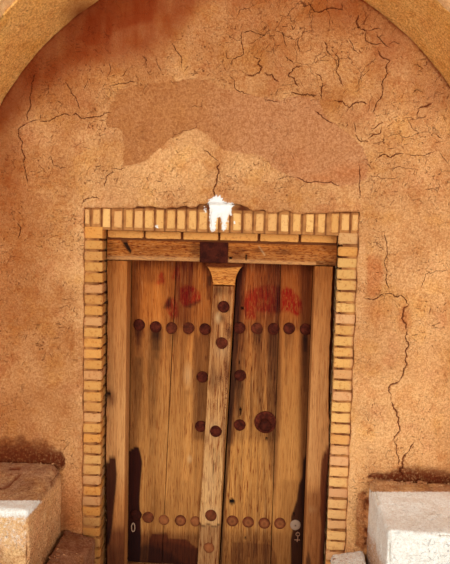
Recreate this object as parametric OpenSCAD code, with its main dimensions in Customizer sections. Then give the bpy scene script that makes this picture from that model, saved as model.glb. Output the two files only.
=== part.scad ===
// Arched entrance portal of an adobe house: a recessed niche with two side benches, a brick door
// surround, a timber frame and a studded two-leaf door that turns on wooden pivots.
// X runs to the right seen from the street, Y into the house and Z up. The origin is in the middle
// of the bottom, and z = 0 is the level of the landing in front of the sill.

/* [Niche and walls] */
// Half of the clear width of the niche
niche_half = 1465; // [1200:5:1800]
// Depth of the niche, from the street face to the wall with the door
niche_d = 490; // [350:5:700]
// Width of each side pier
pier_w = 475; // [350:5:700]
// Thickness of the wall that holds the door
wall_t = 550; // [480:5:800]
// Height at which the arch springs
springing_z = 1965; // [1700:5:2300]
// Distance of each arch centre past the middle line, which makes the arch pointed
arch_offset = 175; // [0:5:400]
// Thickness of the adobe arch ring
ring_t = 220; // [150:5:300]
// Least thickness of the wall over the crown of the ring
crown_cover = 60; // [40:5:200]
// Height of the parapet over the spandrels
parapet_h = 303; // [150:1:600]
// Height of the rounded mud coping
coping_h = 70; // [40:5:120]

/* [Brick surround] */
// Sideways place of the doorway's middle from the niche's middle
door_shift = -20; // [-150:5:150]
// Half of the clear width between the brick jambs
opening_half = 658; // [600:2:760]
// Width of each brick jamb seen from the street
jamb_w = 95; // [80:1:160]
// Length of a brick, which is the depth of the jambs and of both courses
brick_l = 220; // [200:2:240]
// Height of the course of bricks that stand on edge
soldier_h = 113; // [90:1:130]
// Height of the flat course under the standing bricks
flat_h = 58; // [45:1:70]
// Depth at which the flat course lies behind the jambs
flat_setback = 105; // [60:1:115]
// Height of the timber lintels over the rear of the doorway
beam_h = 113; // [80:1:150]
// Bearing of the timber lintels on the walls
beam_bearing = 250; // [150:5:400]
// Distance by which the rear reveal is wider than the brick opening on each side
reveal_set = 42; // [30:1:60]

/* [Timber frame] */
// Depth at which the frame lies behind the brick face
frame_setback = 120; // [105:1:150]
// Height of the timber sill
sill_h = 90; // [60:1:140]
// Clear height between the sill and the head beam
clear_h = 1872; // [1700:1:2100]
// Height of the head beam
head_h = 120; // [90:1:160]
// Depth of the head beam and of the sill
head_d = 210; // [190:1:230]
// Width of each post
post_w = 112; // [80:1:125]
// Depth of each post
post_d = 110; // [80:1:120]
// Width of the rebate that shows as a dark gap between a post and its brick jamb
post_gap = 13; // [2:1:25]
// Depth of that rebate
post_gap_d = 35; // [10:1:60]
// Width of the eased inner arris of the posts and the head beam
arris = 8; // [2:1:15]
// Height by which the leaves reach up behind the front of the head beam
head_rebate = 15; // [8:1:25]
// Width of the iron plate on the head beam
plate_w = 162; // [100:1:200]
// Height of the iron plate
plate_h = 117; // [70:1:120]
// Thickness of the iron plate
plate_t = 6; // [3:1:10]
// Sideways place of the iron plate from the middle of the doorway
plate_x = -36; // [-100:1:100]

/* [Door leaves] */
// Thickness of the leaf boards
board_t = 38; // [28:1:50]
// Gap between a leaf and the frame
leaf_gap = 5; // [5:0.5:10]
// Gap between the two leaves
meet_gap = 6; // [6:0.5:14]
// Place of the meeting edge at the head, from the middle of the doorway
meet_top = 90; // [40:1:110]
// Place of the meeting edge at the sill
meet_bottom = 30; // [-20:1:110]
// Place of the left leaf's board joint at the head
left_joint_top = -268; // [-330:1:-200]
// Place of the left leaf's board joint at the sill
left_joint_bottom = -322; // [-360:1:-200]
// Place of the right leaf's board joint at the head
right_joint_top = 348; // [250:1:420]
// Place of the right leaf's board joint at the sill
right_joint_bottom = 346; // [250:1:420]
// Radius of the round pivot post of each leaf
pivot_r = 27.5; // [24:0.5:32]
// Distance of each pivot axis behind the post, from the post's inner edge
pivot_lap = 57; // [45:1:75]
// Radius of the pins at the ends of the pivot posts
pin_r = 20; // [12:0.5:22]
// Gap round a pin in its socket
pin_gap = 0.5; // [0.3:0.1:1]
// Gap under the pin that carries the leaf
seat_gap = 0.3; // [0.2:0.1:0.5]
// Depth of the socket in the sill
sill_socket = 40; // [25:1:60]
// Depth of the socket in the head beam
head_socket = 60; // [40:1:90]
// Lap of the boards behind the posts
leaf_lap = 2; // [0:1:10]
// Thickness of the ledges on the back of each leaf
ledge_t = 45; // [30:1:50]
// Height of the ledges on the back of each leaf
ledge_h = 90; // [70:1:120]
// Width of the strip that stiffens each leaf behind its meeting edge
strip_w = 70; // [40:1:100]
// Gap between a ledge and the round of the pivot post
ledge_gap = 3; // [1:0.5:10]

/* [Capital and batten] */
// Width of the batten on the meeting edge
batten_w = 127; // [90:1:150]
// Thickness of the batten
batten_t = 30; // [20:1:40]
// Distance of the batten from the meeting edge
batten_set = 5; // [4:0.5:15]
// Radius of the rounded front edges of the batten
batten_r = 7; // [2:1:15]
// Height of the capital, with its fillet
capital_h = 130; // [90:1:180]
// Width of the capital at its top
capital_w = 218; // [170:1:260]
// Thickness of the capital
capital_t = 44; // [30:1:60]
// Sideways place of the capital from the middle of the doorway
capital_x = 20; // [-20:1:40]

/* [Studs and knocker] */
// Radius of a stud's domed head
stud_r = 32; // [20:1:34]
// Height of a stud's domed head
stud_h = 17; // [8:1:24]
// Height of the upper row of studs
upper_z = 1572; // [1450:1:1750]
// Height of the lower row of studs
lower_z = 385; // [250:1:500]
// Number of studs in each row of a leaf
row_count = 5; // [3:1:5]
// Height of the lower single studs
single_low_z = 975; // [850:1:1100]
// Height of the upper single studs
single_high_z = 1280; // [1150:1:1380]
// Gap between the batten and the studs beside it
stud_gap = 3; // [1.5:0.5:20]
// Distance of the right leaf's single studs from the meeting edge
right_single_set = 69; // [45:1:150]
// Distance of the first stud of the right leaf's upper row from the meeting edge
right_upper_set = 45; // [40:1:150]
// Distance of the first stud of the right leaf's lower row from the meeting edge
right_lower_set = 66; // [40:1:150]
// Height by which the right leaf's single studs lie over the left leaf's
single_step = 19; // [0:1:40]
// Radius of the knocker's round plate
knocker_r = 66; // [50:1:80]
// Height of the knocker's middle
knocker_z = 1015; // [900:1:1150]
// Place of the knocker from the middle of the doorway
knocker_x = 286; // [230:1:330]
// Height of the knocker plate's dished middle
knocker_h = 10; // [6:1:16]
// Radius of the knocker's knob
knob_r = 36; // [20:1:45]
// Distance by which the knob hangs under the middle of the plate
knob_drop = 12; // [0:1:20]

/* [Benches] */
// Height of the benches
bench_h = 766; // [500:1:900]
// Distance of the inner side of each bench from the middle of the doorway
bench_x = 852; // [800:1:1000]
// Height of the low ledge beside the door on the left
left_ledge_h = 385; // [150:1:500]
// Height of the low ledge beside the door on the right
right_ledge_h = 370; // [150:1:500]
// Height by which the ledges fall towards the door
ledge_fall = 30; // [0:1:80]
// Radius of the worn upper edges of the benches
bench_r = 30; // [10:1:60]

/* [Hidden] */

$fn = 64;
adobe = [0.80, 0.56, 0.36];
mud = [0.74, 0.52, 0.36];
brick = [0.86, 0.62, 0.36];
frame_wood = [0.78, 0.56, 0.33];
leaf_wood = [0.66, 0.43, 0.23];
iron = [0.33, 0.15, 0.12];

// Planes across the portal
half_w = niche_half + pier_w;
front_y = -(niche_d + wall_t) / 2;
wall_y = front_y + niche_d;
rear_y = wall_y + wall_t;
frame_y = wall_y + frame_setback;
leaf_y = frame_y + post_d + leaf_gap;
board_back_y = leaf_y + board_t;
pivot_y = leaf_y + pivot_r;

// Levels
head_z = sill_h + clear_h;
head_top = head_z + head_h;
flat_top = head_top + flat_h;
soldier_top = flat_top + soldier_h;
leaf_bottom = sill_h + leaf_gap;
leaf_top = head_z + head_rebate - leaf_gap;
arch_r = niche_half + arch_offset;
ring_r = arch_r + ring_t;
crown_z = springing_z + sqrt(ring_r * ring_r - arch_offset * arch_offset);
spandrel_top = crown_z + crown_cover;
parapet_top = spandrel_top + parapet_h;
total_h = parapet_top + coping_h;

// Doorway
post_out = opening_half - post_gap;
post_in = post_out - post_w;
pivot_x = post_in + pivot_lap;
reveal_half = opening_half + reveal_set;
leaf_edge = post_in + leaf_lap;
jamb_out = opening_half + jamb_w;
capital_z = head_z - capital_h;
batten_top = capital_z - leaf_gap - 1;
ledge_levels = [lower_z, single_low_z, single_high_z, upper_z];
pin_drop = leaf_bottom - sill_h + sill_socket - seat_gap;
pin_rise = head_socket - leaf_gap;

function along(low, high, z) = low + (high - low) * (z - sill_h) / clear_h;
function meet_x(z) = along(meet_bottom, meet_top, z);
function batten_x(z) = meet_x(z) - batten_set - batten_w / 2;

// A plain block between two corners
module block(low, high) {
    translate(low) cube(high - low);
}

// A flat outline of X and Z points with its back at y and the given thickness
module panel(points, y_back, thick) {
    translate([0, y_back, 0]) rotate([90, 0, 0]) linear_extrude(thick) polygon(points);
}

// Everything about the door is placed from the middle of the doorway
module at_door() {
    translate([door_shift, 0, 0]) children();
}

// The side piers carry the springers of the arch
module pier(side) {
    inner = side * niche_half;
    outer = side * half_w;
    color(adobe)
        block([min(inner, outer), front_y, 0], [max(inner, outer), wall_y, springing_z]);
}

module left_pier() { pier(-1); }
module right_pier() { pier(1); }

// One piece of the pointed ring, between two angles up from the springing line
module ring_piece(from_angle, to_angle) {
    reach = ring_r * 1.2;
    color(adobe) translate([arch_offset, wall_y, springing_z]) rotate([90, 0, 0]) intersection() {
        difference() {
            cylinder(r = ring_r, h = niche_d, $fn = 160);
            translate([0, 0, -1]) cylinder(r = arch_r, h = niche_d + 2, $fn = 160);
        }
        linear_extrude(niche_d) polygon([
            [0, 0],
            reach * [-cos(from_angle), sin(from_angle)],
            reach * [-cos(to_angle), sin(to_angle)]]);
        translate([-ring_r - arch_offset, 0, 0]) cube([ring_r, ring_r * 1.1, niche_d]);
    }
}

// Both halves of the ring lean on each other at the crown
crown_angle = 90;
module arch_left_low() { ring_piece(0, crown_angle / 3); }
module arch_left_middle() { ring_piece(crown_angle / 3, crown_angle * 2 / 3); }
module arch_left_top() { ring_piece(crown_angle * 2 / 3, crown_angle); }
module arch_right_low() { mirror([1, 0, 0]) ring_piece(0, crown_angle / 3); }
module arch_right_middle() { mirror([1, 0, 0]) ring_piece(crown_angle / 3, crown_angle * 2 / 3); }
module arch_right_top() { mirror([1, 0, 0]) ring_piece(crown_angle * 2 / 3, crown_angle); }

// Adobe fill beside and over the ring
module spandrel() {
    color(adobe) difference() {
        block([-half_w, front_y, springing_z], [0, wall_y, spandrel_top]);
        translate([arch_offset, wall_y + 1, springing_z]) rotate([90, 0, 0])
            cylinder(r = ring_r, h = niche_d + 2, $fn = 160);
    }
}

module left_spandrel() { spandrel(); }
module right_spandrel() { mirror([1, 0, 0]) spandrel(); }

module parapet() {
    color(adobe) block([-half_w, front_y, spandrel_top], [half_w, wall_y, parapet_top]);
}

// The mud coping is rounded to the street and to the house, and plain at the party walls
module coping() {
    edge_r = coping_h / 2;
    color(mud) translate([-half_w, 0, 0]) rotate([90, 0, 90]) linear_extrude(2 * half_w) union() {
        translate([front_y, parapet_top]) square([niche_d + wall_t, edge_r]);
        translate([front_y + edge_r, parapet_top]) square([niche_d + wall_t - coping_h, coping_h]);
        for (y = [front_y + edge_r, rear_y - edge_r])
            translate([y, parapet_top + edge_r]) circle(r = edge_r);
    }
}

// The wall beside the door, rebated for the brick jamb and cut for the lintel beams
module back_wall(side) {
    inner = reveal_half;
    outer = half_w - side * door_shift;
    color(adobe) at_door() difference() {
        block([side < 0 ? -outer : inner, wall_y, 0], [side < 0 ? -inner : outer, rear_y, soldier_top]);
        block([side < 0 ? -jamb_out : inner - 1, wall_y - 1, -1],
              [side < 0 ? 1 - inner : jamb_out, wall_y + brick_l, soldier_top + 1]);
        beam_end = reveal_half + beam_bearing;
        block([side < 0 ? -beam_end : inner - 1, wall_y + brick_l - 1, soldier_top - beam_h],
              [side < 0 ? 1 - inner : beam_end, rear_y + 1, soldier_top + 1]);
    }
}

module back_wall_left() { back_wall(-1); }
module back_wall_right() { back_wall(1); }

module back_wall_over() {
    color(adobe) block([-half_w, wall_y, soldier_top], [half_w, rear_y, parapet_top]);
}

// Jambs of brick laid flat, up to the standing course
module brick_jamb(side) {
    color(brick) at_door() block(
        [side < 0 ? -jamb_out : opening_half, wall_y, 0],
        [side < 0 ? -opening_half : jamb_out, wall_y + brick_l, flat_top]);
}

module brick_jamb_left() { brick_jamb(-1); }
module brick_jamb_right() { brick_jamb(1); }

module brick_flat_course() {
    color(brick) at_door() block(
        [-opening_half, wall_y + flat_setback, head_top],
        [opening_half, wall_y + flat_setback + brick_l, flat_top]);
}

module brick_soldier_course() {
    color(brick) at_door() block(
        [-jamb_out, wall_y, flat_top], [jamb_out, wall_y + brick_l, soldier_top]);
}

// Squared poplar beams that carry the wall over the rear of the doorway
module rear_lintel_beams() {
    beams = 3;
    beam_gap = 4;
    depth = wall_t - brick_l;
    pitch = depth / beams;
    end = reveal_half + beam_bearing;
    color(frame_wood) at_door() for (i = [0 : beams - 1])
        block([-end, wall_y + brick_l + i * pitch + (i > 0 ? beam_gap : 0), soldier_top - beam_h],
              [end, wall_y + brick_l + (i + 1) * pitch, soldier_top]);
}

// Sockets in which the pivot pins turn
module sockets(z, depth) {
    for (side = [-1, 1])
        translate([side * pivot_x, pivot_y, z]) cylinder(r = pin_r + pin_gap, h = depth);
}

module sill() {
    color(frame_wood) at_door() difference() {
        block([-opening_half, frame_y, 0], [opening_half, frame_y + head_d, sill_h]);
        sockets(sill_h - sill_socket, sill_socket + 1);
    }
}

module head_beam() {
    color(frame_wood) at_door() difference() {
        block([-opening_half, frame_y, head_z], [opening_half, frame_y + head_d, head_top]);
        block([-opening_half - 1, frame_y + post_d, head_z - 1],
              [opening_half + 1, frame_y + head_d + 1, head_z + head_rebate]);
        translate([0, frame_y, head_z]) rotate([45, 0, 0])
            cube([2 * post_in, arris * sqrt(2), arris * sqrt(2)], center = true);
        sockets(head_z, head_rebate + head_socket);
    }
}

// A post is eased beside the leaf, and its outer edge is rebated along the brick
module post(side) {
    color(frame_wood) at_door() mirror([side < 0 ? 1 : 0, 0, 0]) translate([0, frame_y, sill_h])
        linear_extrude(clear_h) polygon([
            [post_in, arris], [post_in + arris, 0], [post_out, 0], [post_out, post_gap_d],
            [opening_half, post_gap_d], [opening_half, post_d], [post_in, post_d]]);
}

module post_left() { post(-1); }
module post_right() { post(1); }

module lintel_plate() {
    color(iron) at_door() block(
        [plate_x - plate_w / 2, frame_y - plate_t, head_z],
        [plate_x + plate_w / 2, frame_y, head_z + plate_h]);
}

// The capital hangs under the head beam and flares out over the batten
module capital() {
    low_half = batten_w / 2 + 2;
    top_half = capital_w / 2;
    fillet = 9;
    lip = 22;
    rise = capital_h - 2 * fillet - lip;
    steps = 10;
    flare = top_half - low_half;
    curve = [for (i = [0 : steps]) let (a = 90 * i / steps)
        [low_half + flare * (1 - cos(a)), capital_z + 2 * fillet + rise * sin(a)]];
    side = concat([[low_half + 4, capital_z], [low_half + 4, capital_z + fillet],
        [low_half, capital_z + fillet]], curve, [[top_half, head_z]]);
    outline = concat(side, [for (i = [len(side) - 1 : -1 : 0]) [-side[i][0], side[i][1]]]);
    color(frame_wood) at_door() translate([capital_x, 0, 0])
        panel(outline, leaf_y - leaf_gap - 1, capital_t);
}

// An outline whose upper corner at x = 0 is round
module worn_outline(w, h, r) {
    union() {
        square([w, h - r]);
        translate([r, 0]) square([w - r, h]);
        translate([r, h - r]) circle(r = r);
    }
}

// Mud benches between the door and the piers, worn round at the front and beside the door
module bench(side) {
    width = niche_half - side * door_shift - bench_x;
    color(mud) at_door() mirror([side < 0 ? 1 : 0, 0, 0]) intersection() {
        translate([bench_x, wall_y, 0]) rotate([90, 0, 0])
            linear_extrude(niche_d) worn_outline(width, bench_h, bench_r);
        translate([bench_x, front_y, 0]) rotate([90, 0, 90])
            linear_extrude(width) worn_outline(niche_d, bench_h, bench_r);
    }
}

module left_bench() { bench(-1); }
module right_bench() { bench(1); }

// Low ledges of mud and rubble between the door and the benches, falling towards the door
module low_ledge(side, h) {
    color(mud) at_door() mirror([side < 0 ? 1 : 0, 0, 0]) panel([
        [opening_half, 0], [bench_x, 0], [bench_x, h], [opening_half, h - ledge_fall]],
        wall_y, niche_d);
}

module left_ledge() { low_ledge(-1, left_ledge_h); }
module right_ledge() { low_ledge(1, right_ledge_h); }

// A board between a left and a right edge, each given at the sill and at the head
module board(left_edge, right_edge, y_back = board_back_y, thick = board_t) {
    color(leaf_wood) at_door() panel([
        [along(left_edge[0], left_edge[1], leaf_bottom), leaf_bottom],
        [along(right_edge[0], right_edge[1], leaf_bottom), leaf_bottom],
        [along(right_edge[0], right_edge[1], leaf_top), leaf_top],
        [along(left_edge[0], left_edge[1], leaf_top), leaf_top]], y_back, thick);
}

// The outer stile is one piece of wood with its round pivot post and both pins
module pivot_stile(side) {
    color(leaf_wood) at_door() union() {
        block([side < 0 ? -pivot_x : leaf_edge, leaf_y, leaf_bottom],
              [side < 0 ? -leaf_edge : pivot_x, board_back_y, leaf_top]);
        translate([side * pivot_x, pivot_y, leaf_bottom])
            cylinder(r = pivot_r, h = leaf_top - leaf_bottom);
        translate([side * pivot_x, pivot_y, leaf_bottom - pin_drop])
            cylinder(r = pin_r, h = leaf_top - leaf_bottom + pin_drop + pin_rise);
    }
}

module left_pivot_stile() { pivot_stile(-1); }
module right_pivot_stile() { pivot_stile(1); }

module left_outer_board() {
    board([-leaf_edge, -leaf_edge], [left_joint_bottom, left_joint_top]);
}

module left_inner_board() {
    board([left_joint_bottom, left_joint_top], [meet_bottom, meet_top]);
}

module right_inner_board() {
    board([meet_bottom + meet_gap, meet_top + meet_gap], [right_joint_bottom, right_joint_top]);
}

module right_outer_board() {
    board([right_joint_bottom, right_joint_top], [leaf_edge, leaf_edge]);
}

// Ledges across the back, behind the rows of studs, hold the boards and the stile together.
// They are halved into a strip that runs down behind the meeting edge.
module back_frame(side) {
    meet = side < 0 ? [meet_bottom, meet_top] : [meet_bottom + meet_gap, meet_top + meet_gap];
    stile_x = pivot_x - pivot_r - ledge_gap;
    union() {
        board(side < 0 ? meet - [strip_w, strip_w] : meet, side < 0 ? meet : meet + [strip_w, strip_w],
            board_back_y + ledge_t, ledge_t);
        color(leaf_wood) at_door() for (z = ledge_levels)
            block([side < 0 ? -stile_x : meet_x(z) + meet_gap + strip_w / 2, board_back_y, z - ledge_h / 2],
                  [side < 0 ? meet_x(z) - strip_w / 2 : stile_x, board_back_y + ledge_t, z + ledge_h / 2]);
    }
}

module left_back_ledges() { back_frame(-1); }
module right_back_ledges() { back_frame(1); }

// Domed iron head that faces the street, with its flat side at y
module stud(x, z, y) {
    ball_r = (stud_r * stud_r + stud_h * stud_h) / (2 * stud_h);
    translate([x, y, z]) rotate([90, 0, 0]) intersection() {
        translate([0, 0, stud_h - ball_r]) sphere(r = ball_r);
        cylinder(r = stud_r * 1.2, h = stud_h * 1.5);
    }
}

// Each row runs from its first stud beside the meeting edge to a last one that clears the post
last_stud_x = post_in - leaf_gap - stud_r;
batten_levels = [232, 436, 954, batten_top - 338, batten_top - 122];

function left_first_x(z) = batten_x(z) - batten_w / 2 - stud_gap - stud_r;

module stud_row(first, last, z) {
    for (i = [0 : row_count - 1]) stud(first + (last - first) * i / (row_count - 1), z, leaf_y);
}

module left_studs() {
    color(iron) at_door() {
        for (z = [lower_z, upper_z]) stud_row(left_first_x(z), -last_stud_x, z);
        for (z = [single_low_z, single_high_z])
            stud(left_first_x(z), z - single_step / 2, leaf_y);
        for (z = batten_levels) stud(batten_x(z), z, leaf_y - batten_t);
    }
}

module right_studs() {
    color(iron) at_door() {
        stud_row(meet_x(upper_z) + right_upper_set, last_stud_x, upper_z);
        stud_row(meet_x(lower_z) + right_lower_set, last_stud_x, lower_z);
        for (z = [single_low_z, single_high_z])
            stud(meet_x(z) + right_single_set, z + single_step / 2, leaf_y);
    }
}

// The batten covers the left side of the meeting edge and leans with it
module batten() {
    lean = atan2(meet_top - meet_bottom, clear_h);
    half = batten_w / 2 * cos(lean);
    reach = batten_top * 1.1;
    color(frame_wood) at_door() intersection() {
        translate([batten_x(sill_h), leaf_y, sill_h]) rotate([0, lean, 0]) translate([0, 0, -sill_h])
            linear_extrude(reach) union() {
                translate([-half, batten_r - batten_t]) square([2 * half, batten_t - batten_r]);
                translate([batten_r - half, -batten_t]) square([2 * (half - batten_r), batten_t]);
                for (x = [batten_r - half, half - batten_r])
                    translate([x, batten_r - batten_t]) circle(r = batten_r);
            }
        block([-opening_half, leaf_y - batten_t - 1, leaf_bottom], [opening_half, leaf_y + 1, batten_top]);
    }
}

// The knocker is a dished plate with a knob that hangs a little low
module knocker_plate() {
    rim = 3;
    color(iron) at_door() translate([knocker_x, leaf_y, knocker_z]) rotate([90, 0, 0])
        rotate_extrude() polygon([[0, 0], [knocker_r, 0], [knocker_r, rim],
            [knocker_r - 2 * rim, 2 * rim], [0, knocker_h]]);
}

module knocker_knob() {
    color(iron) at_door() translate([knocker_x, leaf_y - knocker_h, knocker_z - knob_drop])
        rotate([90, 0, 0]) intersection() {
            sphere(r = knob_r);
            cylinder(r = knob_r * 1.1, h = knob_r * 1.2);
        }
}

// Pieces of chain hang from staples under the last stud of each lower row
wire_r = 2.5;
link_r = 11;
hang_gap = 0.3;
staple_z = lower_z - stud_r - 6;
link_y = leaf_y - link_r - wire_r - 2;

module staple(x) {
    translate([x, leaf_y, staple_z]) rotate([90, 0, 0]) cylinder(r = wire_r, h = leaf_y - link_y + 5);
}

// A ring of round iron at a place in the chain, every second one turned across
module chain_ring(x, i) {
    first_z = staple_z - link_r + 2 * wire_r + hang_gap;
    step = 2 * (link_r - wire_r) - hang_gap;
    translate([x, link_y, first_z - i * step]) rotate(i % 2 == 0 ? [90, 0, 0] : [0, 90, 0])
        rotate_extrude() translate([link_r, 0]) circle(r = wire_r);
}

module left_link() {
    x = -last_stud_x - 4;
    stem = 34;
    color(iron) at_door() {
        staple(x);
        chain_ring(x, 0);
        translate([x, link_y, staple_z - 2 * link_r + 2 * wire_r - stem]) cylinder(r = 4, h = stem);
    }
}

module right_chain() {
    x = last_stud_x + 6;
    bar_half = 20;
    rings = 3;
    low_z = staple_z + 2 * wire_r - link_r - (rings - 1) * 2 * (link_r - wire_r) - link_r;
    color(iron) at_door() {
        staple(x);
        for (i = [0 : rings - 1]) chain_ring(x, i);
        translate([x - bar_half, link_y, low_z - wire_r + 1]) rotate([0, 90, 0])
            cylinder(r = wire_r + 1, h = 2 * bar_half - 6);
    }
}

left_pier();
right_pier();
arch_left_low();
arch_left_middle();
arch_left_top();
arch_right_low();
arch_right_middle();
arch_right_top();
left_spandrel();
right_spandrel();
parapet();
coping();
back_wall_left();
back_wall_right();
back_wall_over();
brick_jamb_left();
brick_jamb_right();
brick_flat_course();
brick_soldier_course();
rear_lintel_beams();
sill();
head_beam();
post_left();
post_right();
lintel_plate();
capital();
left_bench();
right_bench();
left_ledge();
right_ledge();
left_pivot_stile();
left_outer_board();
left_inner_board();
left_back_ledges();
left_studs();
batten();
left_link();
right_pivot_stile();
right_inner_board();
right_outer_board();
right_back_ledges();
right_studs();
knocker_plate();
knocker_knob();
right_chain();
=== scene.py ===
import math

import bpy
import numpy as np
from mathutils import Matrix, Vector
from mathutils.bvhtree import BVHTree
from mathutils.geometry import delaunay_2d_cdt


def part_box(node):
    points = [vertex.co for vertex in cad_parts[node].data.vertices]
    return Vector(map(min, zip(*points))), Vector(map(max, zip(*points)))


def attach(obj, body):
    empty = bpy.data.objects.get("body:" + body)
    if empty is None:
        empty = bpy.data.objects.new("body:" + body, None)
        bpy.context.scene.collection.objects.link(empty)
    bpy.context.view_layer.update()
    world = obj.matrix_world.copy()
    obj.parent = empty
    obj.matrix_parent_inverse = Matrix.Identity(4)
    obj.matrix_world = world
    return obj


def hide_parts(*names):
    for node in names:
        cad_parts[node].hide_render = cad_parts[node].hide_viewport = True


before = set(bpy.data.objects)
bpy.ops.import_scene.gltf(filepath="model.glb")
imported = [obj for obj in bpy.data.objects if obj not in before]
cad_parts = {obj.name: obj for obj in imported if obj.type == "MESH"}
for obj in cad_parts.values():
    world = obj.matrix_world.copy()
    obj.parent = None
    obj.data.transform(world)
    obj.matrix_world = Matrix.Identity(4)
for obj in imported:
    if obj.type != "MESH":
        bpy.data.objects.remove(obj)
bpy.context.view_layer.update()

# This is the arched entrance of an adobe house: mud plaster, a brick door surround, a timber frame and a
# studded door of two leaves.

# The view is from the street, two metres up and a good three metres before the door, and looks slightly
# down at it. The focal length is in pixels of the 450 x 564 frame.
photo_w, photo_h = 450, 564
focal_px = 559.2
eye = Vector((0.2024, -3.0778, 2.0828))
look = (Matrix.Rotation(math.radians(3.462), 3, "Z") @ Matrix.Rotation(math.radians(-4.114), 3, "X")
        @ Matrix.Rotation(math.radians(-1.456), 3, "Y"))
camera = bpy.data.objects.new("camera", bpy.data.cameras.new("camera"))
camera.data.lens = focal_px * camera.data.sensor_width / photo_h
camera.matrix_world = Matrix.Translation(eye) @ (look @ Matrix.Rotation(math.pi / 2, 3, "X")).to_4x4()
bpy.context.scene.collection.objects.link(camera)
bpy.context.scene.camera = camera


def at_pixel(px, py, y):
    """The x and z where the camera's ray through a pixel meets the upright plane at y."""
    ray = look @ Vector(((px - photo_w / 2) / focal_px, 1, (photo_h / 2 - py) / focal_px))
    reach = (y - eye.y) / ray.y
    return eye.x + ray.x * reach, eye.z + ray.z * reach


def to_pixels(points):
    """The pixel column and row of each point of an (n, 3) array."""
    local = (np.asarray(points, float) - np.array(eye)) @ np.array(look)
    return (photo_w / 2 + focal_px * local[:, 0] / local[:, 1],
            photo_h / 2 - focal_px * local[:, 2] / local[:, 1])


# The studio is a pale floor under an even pale sky, with one broad soft lamp in front of the portal on the
# left and a weaker one low on the right. Sky and floor are brighter to the eye than they shine on the wall.
scene = bpy.context.scene
scene.view_settings.view_transform = "Standard"
sky_level = 0.55
backdrop_grey = 0.84
floor_glow = 0.26
floor_half = 60.0


def is_seen(tree, *kinds):
    """A value in a node tree that is 1 for the named kinds of ray, and 0 for light on the portal."""
    rays = tree.nodes.new("ShaderNodeLightPath")
    seen = rays.outputs[kinds[0]]
    for kind in kinds[1:]:
        larger = tree.nodes.new("ShaderNodeMath")
        larger.operation = "MAXIMUM"
        tree.links.new(seen, larger.inputs[0])
        tree.links.new(rays.outputs[kind], larger.inputs[1])
        seen = larger.outputs[0]
    return seen


world = bpy.data.worlds.new("studio")
scene.world = world
world.use_nodes = True
tree = world.node_tree
level = tree.nodes.new("ShaderNodeMapRange")
level.inputs["To Min"].default_value = sky_level
level.inputs["To Max"].default_value = backdrop_grey
tree.links.new(is_seen(tree, "Is Camera Ray", "Is Glossy Ray", "Is Transmission Ray"), level.inputs["Value"])
sky = tree.nodes["Background"]
sky.inputs["Color"].default_value = (1, 1, 1, 1)
tree.links.new(level.outputs[0], sky.inputs["Strength"])


def soft_lamp(name, place, target, size, watts):
    lamp = bpy.data.lights.new(name, "AREA")
    lamp.size = size
    lamp.energy = watts
    obj = bpy.data.objects.new(name, lamp)
    obj.location = place
    obj.rotation_euler = (Vector(target) - Vector(place)).to_track_quat("-Z", "Y").to_euler()
    scene.collection.objects.link(obj)


soft_lamp("key_lamp", (-2.6, -6.0, 4.2), (0, 0, 1.8), 3.0, 178)
soft_lamp("low_lamp", (2.8, -5.2, 1.6), (0, 0, 1.6), 3.0, 120)

floor_corners = [(-floor_half, -floor_half, 0), (floor_half, -floor_half, 0), (floor_half, floor_half, 0),
                 (-floor_half, floor_half, 0)]
floor_mesh = bpy.data.meshes.new("floor")
floor_mesh.from_pydata(floor_corners, [], [(0, 1, 2, 3)])
floor = bpy.data.objects.new("floor", floor_mesh)
floor_paint = bpy.data.materials.new("floor_paint")
floor_paint.use_nodes = True
tree = floor_paint.node_tree
paint = tree.nodes["Principled BSDF"]
paint.inputs["Base Color"].default_value = (0.72, 0.71, 0.69, 1)
paint.inputs["Roughness"].default_value = 0.9
paint.inputs["Emission Color"].default_value = (1.0, 0.99, 0.97, 1)
glow = tree.nodes.new("ShaderNodeMath")
glow.operation = "MULTIPLY"
glow.inputs[1].default_value = floor_glow
tree.links.new(is_seen(tree, "Is Camera Ray", "Is Glossy Ray"), glow.inputs[0])
tree.links.new(glow.outputs[0], paint.inputs["Emission Strength"])
floor_mesh.materials.append(floor_paint)
scene.collection.objects.link(floor)

# The wall at the back of the niche is adobe brick under a coat of mud and chopped straw, laid on by
# hand. It has dried in a net of cracks, and an old repair of finer mud shows over the door.
niche_half = -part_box("left_pier")[1].x
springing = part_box("left_pier")[1].z
wall_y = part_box("back_wall_over")[0].y
arch_offset = 0.175
arch_r = niche_half + arch_offset
door_x = -0.020
jamb_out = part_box("brick_jamb_right")[1].x - door_x
soldier_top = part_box("brick_soldier_course")[1].z
coat = 0.011


def soft_noise(points, cell, seed=0):
    """Smooth lattice noise from -1 to 1 whose bumps are about one cell (in metres) apart."""
    place = np.asarray(points, float) / cell + seed * 17.31
    base = np.floor(place).astype(np.int64)
    part = place - base
    part = part * part * (3 - 2 * part)
    total = np.zeros(len(place))
    for corner in range(8):
        step = np.array([corner & 1, corner >> 1 & 1, corner >> 2 & 1])
        at = base + step
        code = (at[:, 0] * 73856093) ^ (at[:, 1] * 19349663) ^ (at[:, 2] * 83492791) ^ (seed * 7919)
        code = ((code & 0x7FFFFFFF) * 1103515245 + 12345) & 0x7FFFFFFF
        code = ((code ^ (code >> 11)) * 69069) & 0x7FFFFFFF
        code = code ^ (code >> 15)
        weight = np.prod(np.where(step == 1, part, 1 - part), axis=1)
        total += weight * ((code & 0xFFFF) / 32767.5 - 1)
    return total


def relief(points, layers, seed=0):
    """Sum of noise layers, each a pair of cell size and height."""
    return sum(high * soft_noise(points, cell, seed + i) for i, (cell, high) in enumerate(layers))


def smooth_step(value, low, high):
    t = np.clip((value - low) / (high - low), 0, 1)
    return t * t * (3 - 2 * t)


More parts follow.
